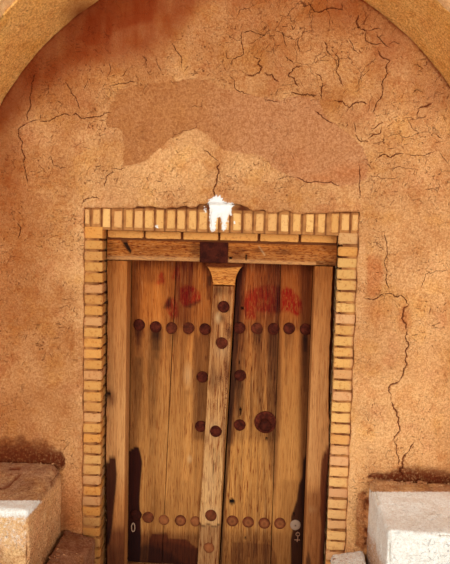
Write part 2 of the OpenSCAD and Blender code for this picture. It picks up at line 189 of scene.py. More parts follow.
sharp_from = math.radians(48)


def put_piece(name, points, faces, materials, body="portal", stands_for=(), marks=None,
              face_material=None):
    """Makes a mesh object with its vertex marks, its materials and its place in the assembly."""
    mesh = bpy.data.meshes.new(name)
    mesh.from_pydata([tuple(p) for p in points], [], [tuple(f) for f in faces])
    for material in materials:
        mesh.materials.append(material)
    for mark, values in (marks or {}).items():
        layer = mesh.attributes.new(mark, "FLOAT", "POINT")
        layer.data.foreach_set("value", np.asarray(values, np.float32))
    if face_material is not None:
        mesh.polygons.foreach_set("material_index", np.asarray(face_material, np.int32))
    mesh.polygons.foreach_set("use_smooth", np.full(len(mesh.polygons), True))
    mesh.set_sharp_from_angle(angle=sharp_from)
    mesh.update()
    obj = bpy.data.objects.new(name, mesh)
    scene.collection.objects.link(obj)
    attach(obj, body)
    if stands_for:
        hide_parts(*stands_for)
    return obj


def linear(colour):
    """A colour in the usual 0 to 255 values, as the shader's linear one with full cover."""
    return tuple((c / 255 / 12.92) if c <= 10 else ((c / 255 + 0.055) / 1.055) ** 2.4 for c in colour) + (1,)


class Shader:
    """Builds one procedural material: every method adds a node and gives back its output."""

    def __init__(self, name, roughness, specular):
        self.material = bpy.data.materials.new(name)
        self.material.use_nodes = True
        self.tree = self.material.node_tree
        self.surface = self.tree.nodes["Principled BSDF"]
        self.feed(self.surface, {"Roughness": roughness, "Specular IOR Level": specular})
        self.place = self.node("TexCoord").outputs["Object"]

    def feed(self, node, values):
        """Sets or links the inputs of a node, by name or number."""
        for key, value in values.items():
            socket = node.inputs[key]
            if isinstance(value, bpy.types.NodeSocket):
                self.tree.links.new(value, socket)
            elif isinstance(value, tuple) and len(value) == 3 and socket.type == "RGBA":
                socket.default_value = linear(value)
            else:
                socket.default_value = value

    def node(self, kind, values=None, **settings):
        made = self.tree.nodes.new("ShaderNode" + kind)
        for key, value in settings.items():
            setattr(made, key, value)
        self.feed(made, values or {})
        return made

    def moved(self, scale=(1, 1, 1), turn=(0, 0, 0), shift=(0, 0, 0), place=None):
        turn = [math.radians(a) for a in turn]
        values = {"Vector": place or self.place, "Scale": scale, "Rotation": turn, "Location": shift}
        return self.node("Mapping", values).outputs[0]

    def noise(self, scale, detail=3.0, rough=0.55, place=None, warp=0.0, output="Fac"):
        values = {"Vector": place or self.place, "Scale": scale, "Detail": detail, "Roughness": rough}
        return self.node("TexNoise", {**values, "Distortion": warp}).outputs[output]

    def cells(self, scale, place=None, feature="F1"):
        return self.node("TexVoronoi", {"Vector": place or self.place, "Scale": scale},
                         feature=feature).outputs

    def ramp(self, value, low, high, out_low=0.0, out_high=1.0):
        values = {"Value": value, "From Min": low, "From Max": high, "To Min": out_low, "To Max": out_high}
        return self.node("MapRange", values, interpolation_type="SMOOTHSTEP").outputs[0]

    def math(self, kind, a, b):
        return self.node("Math", {0: a, 1: b}, operation=kind).outputs[0]

    def plus(self, a, b):
        return self.math("ADD", a, b)

    def minus(self, a, b):
        return self.math("SUBTRACT", a, b)

    def times(self, a, b):
        return self.math("MULTIPLY", a, b)

    def swing(self, noise, reach):
        """A noise value set about nought and stretched by its reach."""
        return self.times(self.minus(noise, 0.5), reach)

    def mark(self, name):
        return self.node("Attribute", attribute_name=name).outputs["Fac"]

    def mix(self, share, a, b, kind="MIX"):
        return self.node("Mix", {"Factor": share, 6: a, 7: b}, data_type="RGBA", blend_type=kind).outputs[2]

    def tint(self, share, colour, rgb, kind="MULTIPLY"):
        """The colour with some of it multiplied or screened by another one."""
        return self.mix(share, colour, self.mix(1.0, colour, rgb, kind))

    def finish(self, colour, height, strength, distance):
        bump = self.node("Bump", {"Strength": strength, "Distance": distance, "Height": height})
        self.feed(self.surface, {"Base Color": colour, "Normal": bump.outputs[0]})
        return self.material


def straw_strokes(s):
    """Short thin straws that lie in three directions."""
    strokes = None
    for turn, shift in ((8, 0.0), (64, 3.1), (-52, 7.7)):
        stretched = s.moved((0.30, 1, 1.3), place=s.moved(turn=(0, turn, 0), shift=(shift, 0, 0)))
        one = s.ramp(s.noise(74, 2.5, 0.55, stretched, 1.2), 0.655, 0.695)
        strokes = one if strokes is None else s.math("MAXIMUM", strokes, one)
    return strokes


def small_pits(s):
    """Dots where a pebble or a seed has fallen out."""
    pits = s.cells(50)
    keep = s.node("SeparateColor", {0: pits["Color"]})
    return s.times(s.ramp(pits["Distance"], 0.27, 0.14), s.ramp(keep.outputs[0], 0.92, 0.94))


def hairline_net(s):
    """Drying cracks as thin as a hair, in a warped net with gaps."""
    warp = s.noise(22, 3, 0.5, output="Color")
    small = s.node("VectorMath", {0: warp, "Scale": 0.05}, operation="SCALE")
    bent = s.node("VectorMath", {0: s.place, 1: small.outputs[0]}, operation="ADD")
    hair = s.ramp(s.cells(7.5, bent.outputs[0], "DISTANCE_TO_EDGE")["Distance"], 0.019, 0.006)
    hair = s.times(hair, s.ramp(s.noise(5.5, 3, 0.6, s.moved(shift=(5, 0, 0))), 0.48, 0.56))
    return s.times(hair, s.mark("net"))


def plaster_material(name, light, deep, speckle=1.0, net=0.0, pale_or_sunlit=(238, 178, 118)):
    """Mud and chopped straw: cloudy tone, grit, pits, short straws and, with net, hairline cracks."""
    s = Shader(name, roughness=0.95, specular=0.1)
    cloud, mottle = s.noise(1.9, 4, 0.6), s.noise(13, 4, 0.65)
    grain, grit = s.noise(175, 2, 0.6), s.noise(72, 4, 0.72)
    tone = s.plus(s.mark("tone"), s.swing(cloud, 0.9))
    colour = s.mix(s.ramp(tone, -0.5, 0.5), deep, light)
    colour = s.tint(s.ramp(mottle, 0.32, 0.7, 0.0, 0.4), colour, (104, 84, 62), "SCREEN")
    colour = s.tint(s.ramp(mottle, 0.5, 0.3, 0.0, 0.3), colour, (214, 164, 120))
    hue = s.noise(6, 4, 0.6, s.moved(shift=(9, 0, 0)))
    colour = s.tint(s.ramp(hue, 0.5, 0.68, 0.0, 0.5), colour, (255, 246, 206))
    colour = s.tint(s.ramp(hue, 0.46, 0.3, 0.0, 0.4), colour, (246, 226, 232))
    fringe = s.swing(s.noise(20, 5, 0.75), 1.1)
    patch_tone = s.mix(s.mark("patch_right"), (182, 114, 60), (198, 132, 82))
    patch_tone = s.tint(s.ramp(mottle, 0.4, 0.7, 0.0, 0.3), patch_tone, (90, 64, 52), "SCREEN")
    colour = s.mix(s.ramp(s.plus(s.mark("patch"), fringe), 0.4, 0.6, 0.0, 0.85), colour, patch_tone)
    red = s.times(s.mark("red"), s.ramp(s.noise(17, 4, 0.6), 0.25, 0.6, 0.4, 1.0))
    colour = s.mix(red, colour, (200, 116, 60))
    # The pale mark mixes in the pale colour: pale mud on the walls, painted light beside the right bench,
    # and painted sunlight on the benches and the right ledge.
    pale_spread = s.plus(s.mark("pale"), s.swing(s.noise(70, 5, 0.75), 1.3))
    pale_share = s.times(s.ramp(pale_spread, 0.15, 0.75), s.ramp(s.mark("pale"), 0.0, 0.1))
    colour = s.mix(pale_share, colour, pale_or_sunlit)
    dry = s.minus(1.0, s.times(s.plus(s.mark("damp"), s.mark("pale")), 0.6))
    speckle = s.times(dry, speckle)
    coarse = s.ramp(s.plus(s.times(grain, 0.45), s.times(grit, 0.55)), 0.34, 0.66)
    lit_grains = s.mix(1.0, colour, (276, 292, 312), "MULTIPLY")
    dark_grains = s.mix(1.0, colour, (180, 136, 102), "MULTIPLY")
    colour = s.mix(s.times(speckle, 0.62), colour, s.mix(coarse, lit_grains, dark_grains))
    strewn = s.ramp(s.noise(5, 3, 0.6), 0.44, 0.6, 0.15, 1.0)
    strewn = s.times(strewn, s.minus(1.0, s.times(s.mark("calm"), 0.7)))
    flecks = s.times(s.math("MAXIMUM", straw_strokes(s), small_pits(s)), strewn)
    colour = s.mix(s.times(flecks, s.times(speckle, 0.8)), colour, (104, 46, 14))
    streaky = s.ramp(s.noise(9, 5, 0.7, s.moved((1, 1, 0.16))), 0.25, 0.62, 0.84, 1.0)
    colour = s.mix(s.times(s.mark("damp"), streaky), colour, (134, 46, 8))
    tufts = s.noise(60, 4, 0.7, s.moved((1.6, 1, 0.5), (0, 24, 0)), 1.0)
    crumbly = s.ramp(s.plus(s.times(tufts, 0.4), s.times(grit, 0.6)), 0.36, 0.52, 0.6, 1.0)
    crumbled = s.mix(tufts, (80, 28, 9), (118, 52, 22))
    colour = s.mix(s.times(s.mark("foot"), crumbly), colour, crumbled)
    if net:
        colour = s.mix(s.times(hairline_net(s), net), colour, (84, 38, 16))
    white = s.plus(s.mark("gypsum"), s.swing(s.noise(85, 4, 0.75), 1.9))
    colour = s.mix(s.ramp(white, 0.44, 0.6), colour, (244, 240, 232))
    colour = s.mix(s.mark("crack"), colour, (112, 40, 8))
    height = s.minus(s.plus(s.times(grain, 0.8), s.times(grit, 1.1)), flecks)
    return s.finish(colour, height, 1.0, 0.004)


wall_plaster = plaster_material("wall_plaster", (246, 184, 116), (182, 112, 56), 1.0, 0.7)

# The cracks in the coat are listed with their width in millimetres and their run in pixels of the photo.
cracks = [
    (2, [(236, 18), (240, 9), (248, 9), (257, 3)]),
    (2, [(226, 33), (232, 38), (238, 39), (243, 39)]),
    (2, [(248, 43), (255, 42), (262, 36), (269, 32), (270, 36)]),
    (3, [(263, 50), (269, 45)]),
    (2, [(312, 46), (310, 50), (306, 52)]),
    (2, [(313, 11), (312, 20), (311, 27)]),
    (3, [(332, 19), (334, 24)]),
    (3, [(352, 30), (358, 26)]),
    (3, [(368, 30), (376, 28), (383, 30)]),
    (3, [(389, 44), (395, 42), (401, 44)]),
    (3, [(413, 63), (419, 66), (424, 69)]),
    (2, [(369, 64), (367, 71), (361, 76), (359, 80), (359, 88)]),
    (2, [(343, 93), (347, 89)]),
    (2, [(324, 91), (332, 93)]),
    (2, [(278, 87), (276, 96)]),
    (3, [(412, 94), (416, 89), (424, 92)]),
    (2, [(241, 70), (247, 74)]),
    (4, [(354, 121), (355, 128), (356, 133)]),
    (4, [(370, 129), (376, 127), (382, 122)]),
    (3, [(366, 135), (374, 133)]),
    (4, [(361, 136), (361, 140), (369, 142)]),
    (3, [(387, 128), (393, 122)]),
    (3, [(384, 133), (384, 143)]),
    (2, [(387, 137), (394, 136), (400, 134)]),
    (5, [(435, 134), (442, 138)]),
    (3, [(405, 154), (413, 156), (425, 154), (435, 151)]),
    (2, [(388, 169), (400, 167), (416, 169)]),
    (2, [(370, 176), (388, 178), (398, 177)]),
    (3, [(440, 152), (443, 158), (448, 164)]),
    (3, [(425, 190), (435, 188)]),
    (4, [(296, 176), (305, 182), (320, 183), (331, 183), (340, 186)]),
    (5, [(282, 179), (286, 176)]),
    (2, [(305, 183), (300, 189)]),
    (2, [(291, 154), (295, 160)]),
    (2, [(55, 100), (63, 105)]),
    (3, [(51, 132), (58, 132)]),
    (2, [(83, 147), (91, 149)]),
    (3, [(51, 156), (54, 165), (61, 168), (67, 167)]),
    (3, [(95, 166), (104, 167)]),
    (2, [(40, 165), (47, 173)]),
    (3, [(154, 181), (161, 181), (160, 177)]),
    (3, [(128, 183), (131, 185)]),
    (2, [(191, 107), (201, 106), (202, 99)]),
    (2, [(171, 138), (182, 132), (196, 127), (196, 122)]),
    (4, [(243, 30), (241, 38), (243, 46), (243, 54), (238, 57), (233, 59), (231, 66)]),
    (3, [(233, 59), (228, 57), (225, 50)]),
    (6, [(254, 57), (259, 59), (258, 64), (262, 66), (260, 73), (256, 75), (246, 75)]),
    (7, [(264, 72), (267, 75), (272, 74), (275, 79), (279, 82)]),
    (4, [(285, 55), (288, 60), (292, 61), (294, 64)]),
    (6, [(303, 66), (297, 66), (293, 69), (289, 75), (293, 77), (295, 82), (299, 87)]),
    (4, [(299, 36), (297, 44), (301, 52)]),
    (6, [(324, 41), (327, 45), (327, 50), (332, 56)]),
    (5, [(334, 53), (339, 58), (338, 66), (337, 70), (340, 76), (341, 82), (343, 86)]),
    (4, [(315, 73), (320, 77), (323, 82)]),
    (5, [(323, 80), (322, 88), (322, 100)]),
    (6, [(290, 92), (297, 94), (306, 94), (318, 95)]),
    (6, [(334, 100), (343, 102), (349, 108), (355, 103), (363, 101), (368, 104)]),
    (3, [(349, 108), (346, 112)]),
    (5, [(378, 49), (381, 56), (389, 61), (387, 67), (386, 76), (383, 80), (383, 92), (381, 99), (376, 105),
         (373, 113)]),
    (5, [(307, 2), (312, 8), (315, 11), (324, 11), (331, 8), (342, 9), (342, 2)]),
    (7, [(359, 14), (357, 21), (358, 28), (368, 30)]),
    (4, [(366, 31), (366, 40), (372, 44), (382, 43)]),
    (5, [(377, 33), (381, 41), (385, 45), (390, 47)]),
    (3, [(348, 38), (352, 45), (359, 54)]),
    (9, [(418, 109), (423, 107), (428, 106), (433, 102)]),
    (5, [(419, 109), (417, 118)]),
    (5, [(368, 138), (374, 135), (380, 133), (382, 127)]),
    (4, [(355, 134), (360, 140), (367, 142)]),
    (4, [(345, 128), (347, 121)]),
    (6, [(377, 158), (383, 155), (388, 157), (396, 155), (404, 153)]),
    (3, [(407, 118), (414, 130), (419, 134)]),
    (3, [(281, 30), (284, 37), (286, 46)]),
    (3, [(241, 32), (252, 31), (262, 35), (269, 30)]),
    (3, [(229, 75), (234, 80), (235, 88), (240, 93), (249, 95)]),
    (3, [(264, 96), (266, 101), (279, 101)]),
    (4, [(291, 24), (293, 29), (296, 25)]),
    (4, [(315, 110), (323, 118), (334, 123)]),
    (3, [(276, 180), (288, 176), (296, 178)]),
    (4, [(359, 165), (361, 175), (359, 184), (361, 190), (359, 199)]),
    (5, [(36, 73), (32, 82), (32, 90), (30, 98), (31, 104), (28, 112), (28, 121)]),
    (5, [(28, 123), (20, 128), (19, 137), (22, 143), (23, 152), (25, 158), (24, 166), (27, 174), (28, 184)]),
    (3, [(49, 84), (48, 92), (46, 97)]),
    (4, [(65, 82), (70, 88), (73, 94), (77, 99), (80, 109)]),
    (4, [(28, 123), (33, 121), (39, 121), (50, 122), (57, 116), (64, 115), (71, 116)]),
    (5, [(72, 117), (75, 112), (80, 117), (91, 118), (99, 117), (104, 113), (111, 112)]),
    (3, [(40, 113), (40, 121)]),
    (3, [(127, 69), (124, 75), (121, 77)]),
    (3, [(136, 82), (129, 83), (122, 83), (110, 86)]),
    (3, [(88, 80), (86, 86), (84, 91)]),
    (4, [(172, 43), (176, 50), (182, 57), (183, 61), (181, 68)]),
    (3, [(156, 57), (159, 66), (162, 72)]),
    (3, [(142, 55), (147, 60), (146, 68)]),
    (3, [(109, 62), (111, 72)]),
    (3, [(170, 80), (174, 84)]),
    (4, [(112, 167), (112, 172), (107, 178), (104, 187)]),
    (3, [(112, 168), (120, 170), (126, 167)]),
    (8, [(220, 163), (218, 168), (219, 172), (216, 179), (217, 184), (214, 190), (215, 198)]),
    (3, [(203, 149), (208, 154), (214, 158), (219, 161)]),
    (5, [(82, 205), (84, 200), (89, 198), (92, 196), (100, 199)]),
    (4, [(17, 222), (20, 228), (19, 240)]),
    (5, [(363, 297), (367, 299), (373, 300), (378, 297), (384, 293)]),
    (5, [(384, 293), (392, 294), (397, 297), (401, 295), (405, 300), (409, 305)]),
    (9, [(409, 305), (405, 309), (404, 314), (403, 320), (406, 325), (407, 330)]),
    (7, [(407, 330), (405, 337), (408, 344), (406, 352), (405, 358), (406, 364), (404, 372), (400, 380)]),
    (10, [(400, 380), (396, 384), (391, 386), (389, 391), (391, 394)]),
    (4, [(391, 394), (391, 401)]),
    (8, [(391, 401), (394, 408), (397, 413), (399, 418), (398, 424), (400, 430), (396, 436), (393, 440)]),
    (5, [(393, 440), (397, 447), (396, 453), (399, 460), (399, 466)]),
    (5, [(415, 441), (411, 447), (408, 452)]),
    (10, [(408, 452), (403, 459), (404, 466), (401, 471), (404, 478)]),
    (4, [(384, 233), (387, 242), (387, 252), (385, 262), (387, 272), (386, 283), (389, 289)]),
    (3, [(448, 271), (437, 271), (427, 273), (424, 278), (421, 288)]),
]
old_repair = [(113, 100), (119, 90), (140, 84), (166, 82), (188, 79), (208, 80), (224, 89), (250, 95),
              (280, 100), (297, 96), (318, 100), (328, 119), (347, 133), (363, 146), (368, 162), (367, 179),
              (350, 186), (327, 184), (305, 182), (275, 169), (261, 155), (225, 151), (208, 136), (198, 128),
              (186, 131), (172, 138), (162, 146), (143, 162), (122, 168), (124, 148), (122, 129), (106, 126),
              (107, 112)]
splash = [(211, 231), (210, 222), (209.6, 205.6), (208, 203.8), (210, 199.4), (213, 198), (215.6, 196),
          (219.4, 196), (221.5, 199), (224.4, 202.5), (232.5, 203), (234.2, 205.6), (231.9, 208), (231, 212),
          (232.5, 215), (228.8, 215), (227.5, 218.8), (225.2, 222.5), (225, 230), (222, 230), (221.7, 218.5),
          (219.5, 216.5), (217, 217.5), (215.6, 223.8), (215.2, 231)]
# The lower edge of the coat over the brick head is ragged. A smooth red patch lies beside the door.
ragged_edge = [(80, 207.4), (134, 208), (137, 206), (144, 206.4), (150, 206), (156, 207.3), (165, 208.3),
               (172, 207.3), (176, 208), (180, 206.5), (186, 205.6), (190, 207.5), (196, 206.5), (199, 204),
               (205, 203.5), (214, 203), (233, 203.5), (240, 204.3), (247, 207), (253, 211), (258, 210),
               (264, 209.5), (268, 212.5), (276, 213), (281, 211), (286, 210), (291, 211.5), (293, 213.3),
               (301, 214), (306, 213), (313, 213), (318, 213.5), (325, 213), (331, 212.4), (345, 211.5),
               (364, 211.5)]
red_patch = [(367, 255), (374, 254), (383, 257), (383, 275), (381, 290), (376, 297), (370, 298), (367, 290)]


def signed_reach(x, z, outline):
    """Distance of each point to a closed outline, positive inside."""
    near = np.full(len(x), 1e9)
    inside = np.zeros(len(x), bool)
    for (x0, z0), (x1, z1) in zip(outline, outline[1:] + outline[:1]):
        run_x, run_z = x1 - x0, z1 - z0
        along = np.clip(((x - x0) * run_x + (z - z0) * run_z) / (run_x ** 2 + run_z ** 2), 0, 1)
        near = np.minimum(near, np.hypot(x - x0 - along * run_x, z - z0 - along * run_z))
        crosses = (z0 > z) != (z1 > z)
        with np.errstate(divide="ignore", invalid="ignore"):
            inside ^= crosses & (x < run_x * (z - z0) / run_z + x0)
    return np.where(inside, near, -near)


def across_of(line):
    """The unit vector across a line at each of its points."""
    run = np.gradient(line, axis=0)
    return np.stack([-run[:, 1], run[:, 0]], 1) / np.linalg.norm(run, axis=1)[:, None]


def walk(line, step):
    """Points at about the given step along a broken line."""
    found = [np.array(line[0], float)]
    for a, b in zip(line, line[1:]):
        a, b = np.array(a, float), np.array(b, float)
        n = max(1, round(np.linalg.norm(b - a) / step))
        found += [a + (b - a) * (i + 1) / n for i in range(n)]
    return np.array(found)


def arch_edge(grow, step):
    """Points along the pointed arch from the left springing to the right one, grown outward."""
    reach = arch_r + grow
    rise = math.sqrt(reach ** 2 - arch_offset ** 2)
    crown = math.atan2(rise, arch_offset)
    count = int(crown * reach / step)
    turns = [crown * i / count for i in range(count + 1)]
    left = [(arch_offset - reach * math.cos(turn), springing + reach * math.sin(turn)) for turn in turns]
    return left + [(-x, z) for x, z in reversed(left[:-1])]


coat_y = wall_y - coat
lap = 0.022
side_x = niche_half + lap
hole_left, hole_right = door_x - jamb_out + 0.004, door_x + jamb_out - 0.003
side_step, arch_step, jamb_step, top_step, crack_step = 0.016, 0.014, 0.009, 0.007, 0.006
wobble = np.random.default_rng(3)
outer = np.vstack([walk([(-side_x, 0), (-side_x, springing)], side_step)[:-1],
                   walk(arch_edge(lap, arch_step), arch_step),
                   walk([(side_x, springing), (side_x, 0)], side_step)[1:]])
head_edge = np.array([at_pixel(px, py, coat_y) for px, py in ragged_edge])


def plaster_top(x):
    """The height of the coat's ragged lower edge over the door."""
    return np.interp(x, head_edge[:, 0], head_edge[:, 1])


top_left, top_right = (hole_left, plaster_top(hole_left)), (hole_right, plaster_top(hole_right))
between = [tuple(p) for p in head_edge if hole_left + 0.01 < p[0] < hole_right - 0.01]
top_line = walk([top_left] + between + [top_right], top_step)
left_line = walk([(hole_left, 0), top_left], jamb_step)[:-1]
right_line = walk([top_right, (hole_right, 0)], jamb_step)[1:]
for line in (left_line, right_line):
    line[:, 0] += 0.003 * np.sin(line[:, 1] * 31) + wobble.uniform(-0.0015, 0.0015, len(line))
top_line[:, 1] += wobble.uniform(-0.0014, 0.0014, len(top_line))
surround = np.vstack([left_line, top_line, right_line])
rim = np.vstack([outer, surround[::-1]])
flat_points = [tuple(p) for p in rim]
edges = [(i, (i + 1) % len(rim)) for i in range(len(rim))]
# Each crack is a narrow V that wanders a little: a deep line in the middle and two lips.
deep = {}
for width_mm, line in cracks:
    middle = walk([at_pixel(px, py, coat_y) for px, py in line], crack_step)
    across = across_of(middle)
    n = len(middle)
    ends = np.minimum(1, np.minimum(np.arange(n), np.arange(n)[::-1]) / 4 + 0.15)
    drift = np.convolve(wobble.normal(0, 1, n + 4), np.ones(5) / 5, "valid") * 0.0062
    drift = drift + wobble.uniform(-0.0020, 0.0020, n)
    middle = middle + across * (drift * ends)[:, None]
    half = np.maximum(width_mm * 0.00074 * ends * wobble.uniform(0.45, 1.5, n), 0.0010)
    for shift, depth in ((0, 1.0), (half, 0.0), (-half, 0.0)):
        start = len(flat_points)
        flat_points.extend(tuple(p) for p in middle + across * np.reshape(shift, (-1, 1)))
        edges.extend((start + i, start + i + 1) for i in range(n - 1))
        for i in range(n):
            deep[start + i] = -depth * ends[i] * (0.006 + width_mm * 0.0006)

# Between the lines lies a loose field of points, which keeps clear of them.
spacing = 0.0125
clear = 0.006
door_clear = 0.014
below_seats = 0.3
columns = np.arange(-side_x, side_x, spacing)
levels = np.arange(below_seats, springing + arch_r, spacing)
field = np.stack(np.meshgrid(columns, levels), -1).reshape(-1, 2)
field += wobble.uniform(-0.3, 0.3, field.shape) * spacing
from_centre = np.hypot(np.abs(field[:, 0]) + arch_offset, field[:, 1] - springing)
under_arch = (field[:, 1] < springing) | (from_centre < arch_r + lap - clear)
in_arch = (np.abs(field[:, 0]) < side_x - clear) & under_arch
in_door = (field[:, 0] > hole_left - door_clear) & (field[:, 0] < hole_right + door_clear)
in_door = in_door & (field[:, 1] < plaster_top(field[:, 0]) + door_clear)
field = field[in_arch & ~in_door]
taken = {(int(x // clear), int(z // clear)) for x, z in flat_points}
around = [(i, j) for i in (-1, 0, 1) for j in (-1, 0, 1)]
field = [p for p in field
         if not any((int(p[0] // clear) + i, int(p[1] // clear) + j) in taken for i, j in around)]
side_insets, head_insets = (0.0045, 0.010), (0.005, 0.011)
row_from, row_step, head_step = 0.31, 0.009, 0.008
for side, edge_x in ((-1, hole_left), (1, hole_right)):
    for inset in side_insets:
        field += [(edge_x + side * inset, z) for z in np.arange(row_from, soldier_top, row_step)]
for inset in head_insets:
    field += [(x, plaster_top(x) + inset) for x in np.arange(hole_left + 0.01, hole_right, head_step)]
flat_points.extend((float(x), float(z)) for x, z in field)
verts, _, faces, from_verts, _, _ = delaunay_2d_cdt(
    [Vector(p) for p in flat_points], edges, [], 0, 1e-6, True)
flat = np.array([tuple(v) for v in verts])
faces = np.array([tuple(f) for f in faces])
centres = flat[faces].mean(1)
faces = faces[signed_reach(centres[:, 0], centres[:, 1], [tuple(p) for p in rim]) > 0]
sunk = np.array([min((deep.get(i, 0.0) for i in origin), default=0.0) for origin in from_verts])
x, z = flat[:, 0], flat[:, 1]
flat3 = np.stack([x, np.full(len(x), coat_y), z], 1)
px, py = to_pixels(flat3)


def oval(px, py, *spots):
    """The strongest of some soft ovals, each a pixel, two half widths in pixels and a strength."""
    total = np.zeros(len(px))
    for cx, cy, rx, ry, strength in spots:
        total = np.maximum(total, strength * np.clip(1.2 - np.hypot((px - cx) / rx, (py - cy) / ry), 0, 1))
    return np.minimum(total, 1)


# The face of the coat is bumpy, round at the door, and calmer where the old repair is.
calm_columns, calm_rows = (362, 380), (330, 400)
swell_from, swell_to, swell_high = (128, 140), (352, 362), 2.2
head_round, side_round = 0.009, 0.0035
pit_spots = [(405, 317, 6, 13, 1), (390, 387, 5, 4, 0.8), (403, 462, 5, 8, 0.7), (359, 329, 1.6, 3, 1)]
patch_reach = signed_reach(px, py, old_repair)
patch = smooth_step(patch_reach, -5, 5)
calm = np.clip(patch * 0.8 + smooth_step(px, *calm_columns) * smooth_step(py, *calm_rows) * 0.5, 0, 1)
bumps = relief(flat3, [(0.55, 0.007), (0.19, 0.003), (0.06, 0.0017), (0.021, 0.0013)], 5)
bumps = bumps * (1 - 0.3 * calm) + 0.003 * smooth_step(patch_reach, -1.2, 1.2)
edge_reach = -signed_reach(x, z, [tuple(p) for p in surround])
round_r = np.where(z > soldier_top - 0.12, head_round, side_round)
near = np.clip(edge_reach, 0, round_r)
fall = (round_r - np.sqrt(np.maximum(round_r ** 2 - (round_r - near) ** 2, 0))) * (edge_reach < round_r)
swell = smooth_step(px, *swell_from) * (1 - smooth_step(px, *swell_to)) * (z > swell_high)
swell = 0.008 * swell * (1 - smooth_step(edge_reach, 0.03, 0.12))
pit = oval(px, py, *pit_spots)
# The foot of the wall over the benches has crumbled away in ragged layers. It is given as pairs of a
# pixel column and the height of the crumbled part there, in pixels.
pixel_size = 0.0055
left_foot = [(-20, 23), (0, 22), (20, 25), (33, 22), (50, 19), (60, 18), (63, 13), (65, 0)]
right_foot = [(366, 0), (370, 2), (378, 5), (390, 7), (398, 11), (404, 15), (412, 16), (425, 14), (440, 11),
              (450, 9), (470, 9)]
eaten_edge = [(357.5, 492), (366, 490), (368, 500), (367, 520), (369, 545), (364, 551), (356, 546),
              (357, 515)]
eaten_columns = (361, 366)
left_crumble = (64, 522, 6, 20, 1)
seat_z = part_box("left_bench")[1].z
foot_high = np.where(x < 0, np.interp(px, *zip(*left_foot)), np.interp(px, *zip(*right_foot))) * pixel_size
over = (z - seat_z - 0.045) / np.maximum(foot_high, 0.001)
uneven = over + 0.3 * soft_noise(flat3, 0.05, 8) + 0.2 * soft_noise(flat3, 0.018, 4)
foot = 1 - smooth_step(uneven, 0.6, 1.15)
foot = foot * (foot_high > 0.004) * smooth_step(over, -0.7, -0.4)
bite = foot * (0.014 + 0.008 * soft_noise(flat3 * (1, 1, 2.5), 0.028, 9))
foot = foot * np.clip(1.15 - 0.55 * over, 0.45, 1)
eaten = smooth_step(signed_reach(px, py, eaten_edge) + 2.5 * soft_noise(flat3, 0.03, 15), -1, 1.5)
layered = 0.9 * smooth_step(px, *eaten_columns) * (soft_noise(flat3, 0.016, 16) > -0.1)
foot = np.maximum(foot, eaten * np.clip(0.15 + layered, 0, 1))
foot = np.maximum(foot, 0.45 * oval(px, py, left_crumble))
bite = np.maximum(bite, 0.012 * eaten)
y = coat_y + bumps - swell + fall - sunk + bite + 0.008 * pit
# Rain has run down the crown of the arch on the left, in a dark core with a wide fringe.
stain_core = [(92, -30), (158, -30), (158, 10), (154, 24), (134, 27), (116, 33), (108, 46), (88, 47),
              (74, 40), (84, 20)]
stain_wide = [(60, -30), (235, -30), (200, 4), (178, 30), (150, 50), (118, 60), (84, 64), (58, 78), (36, 92),
              (16, 120), (-20, 150), (-20, 100)]
damp_spots = [(250, -4, 60, 18, 0.35), (345, 2, 60, 26, 0.42), (385, 45, 26, 36, 0.32),
              (425, 90, 24, 30, 0.3), (8, 170, 14, 60, 0.35)]
damp = 0.95 * smooth_step(signed_reach(px, py, stain_core), -11, 5)
damp = np.maximum(damp, 0.78 * smooth_step(signed_reach(px, py, stain_wide), -18, 12))
damp = np.maximum(damp, oval(px, py, *damp_spots))
damp = np.clip(damp * (1 + 0.12 * soft_noise(flat3 * (1, 1, 0.25), 0.03, 14)), 0, 0.96)
# The crack mark also darkens a thin line where the coat meets the arch.
arch_reach = arch_r - np.hypot(np.abs(x) + arch_offset, z - springing)
corner_reach = np.where(z > springing, arch_reach, niche_half - np.abs(x))
corner_dark = (1 - smooth_step(corner_reach + 0.004 * soft_noise(flat3, 0.04, 3), 0.004, 0.011)) * (z > 2.5)
# The tone of the dry mud changes in broad soft ovals: (lighter or darker by, pixel and half widths).
# These ovals also paint light and shade: the wall is painted darker to the left and at the top, and lighter
# towards the lower right and beside the right bench.
light_and_tone_spots = [(-0.10, (230, 40, 120, 50)), (-0.26, (20, 300, 66, 190)), (-0.3, (70, 90, 50, 40)),
              (-0.15, (150, 60, 70, 30)), (-0.25, (350, 8, 80, 26)), (0.12, (250, 175, 150, 34)),
              (0.22, (410, 160, 60, 60)), (0.34, (430, 330, 90, 150)), (0.32, (385, 430, 60, 70)),
              (0.5, (350, 500, 20, 70))]
tone = -0.10 + sum(change * oval(px, py, (*spot, 1)) for change, spot in light_and_tone_spots)
tone = tone + 0.2 * soft_noise(flat3, 0.45, 12) + 0.12 * soft_noise(flat3, 0.12, 17)
# Pale mud was smeared beside both jambs and in a band over the left end of the bricks, and the mud over
# their right end is golden.
left_edge, left_from, left_fade = (71, 75), 224, (440, 500)
right_edge, right_from, right_fade = (365, 369), 244, (300, 420)
band_rows, band_left, band_right, band_foot = (197, 201), 84, 152, 210
gold_rows, gold_columns, gold_right, gold_foot = (203.5, 205.5), (312, 322), 361, 213
# The spot beside the right bench is painted light.
lit_spot = (350, 500, 14, 60, 1)
left_strip = smooth_step(px, *left_edge) * (py > left_from) * (x < door_x)
left_strip = left_strip * (1 - smooth_step(py, *left_fade))
right_strip = (1 - smooth_step(px, *right_edge)) * (py > right_from) * (x > door_x)
right_strip = right_strip * (1 - smooth_step(py, *right_fade) * 0.6)
band = smooth_step(py, *band_rows) * (px > band_left) * (px < band_right) * (py < band_foot)
gold = smooth_step(py, *gold_rows) * (py < gold_foot) * smooth_step(px, *gold_columns) * (px < gold_right)
pale = 0.34 * left_strip + 0.42 * right_strip + 0.4 * band + 0.45 * oval(px, py, lit_spot)
pale = np.clip(pale, 0, 1) * (0.8 + 0.3 * soft_noise(flat3, 0.08, 6))
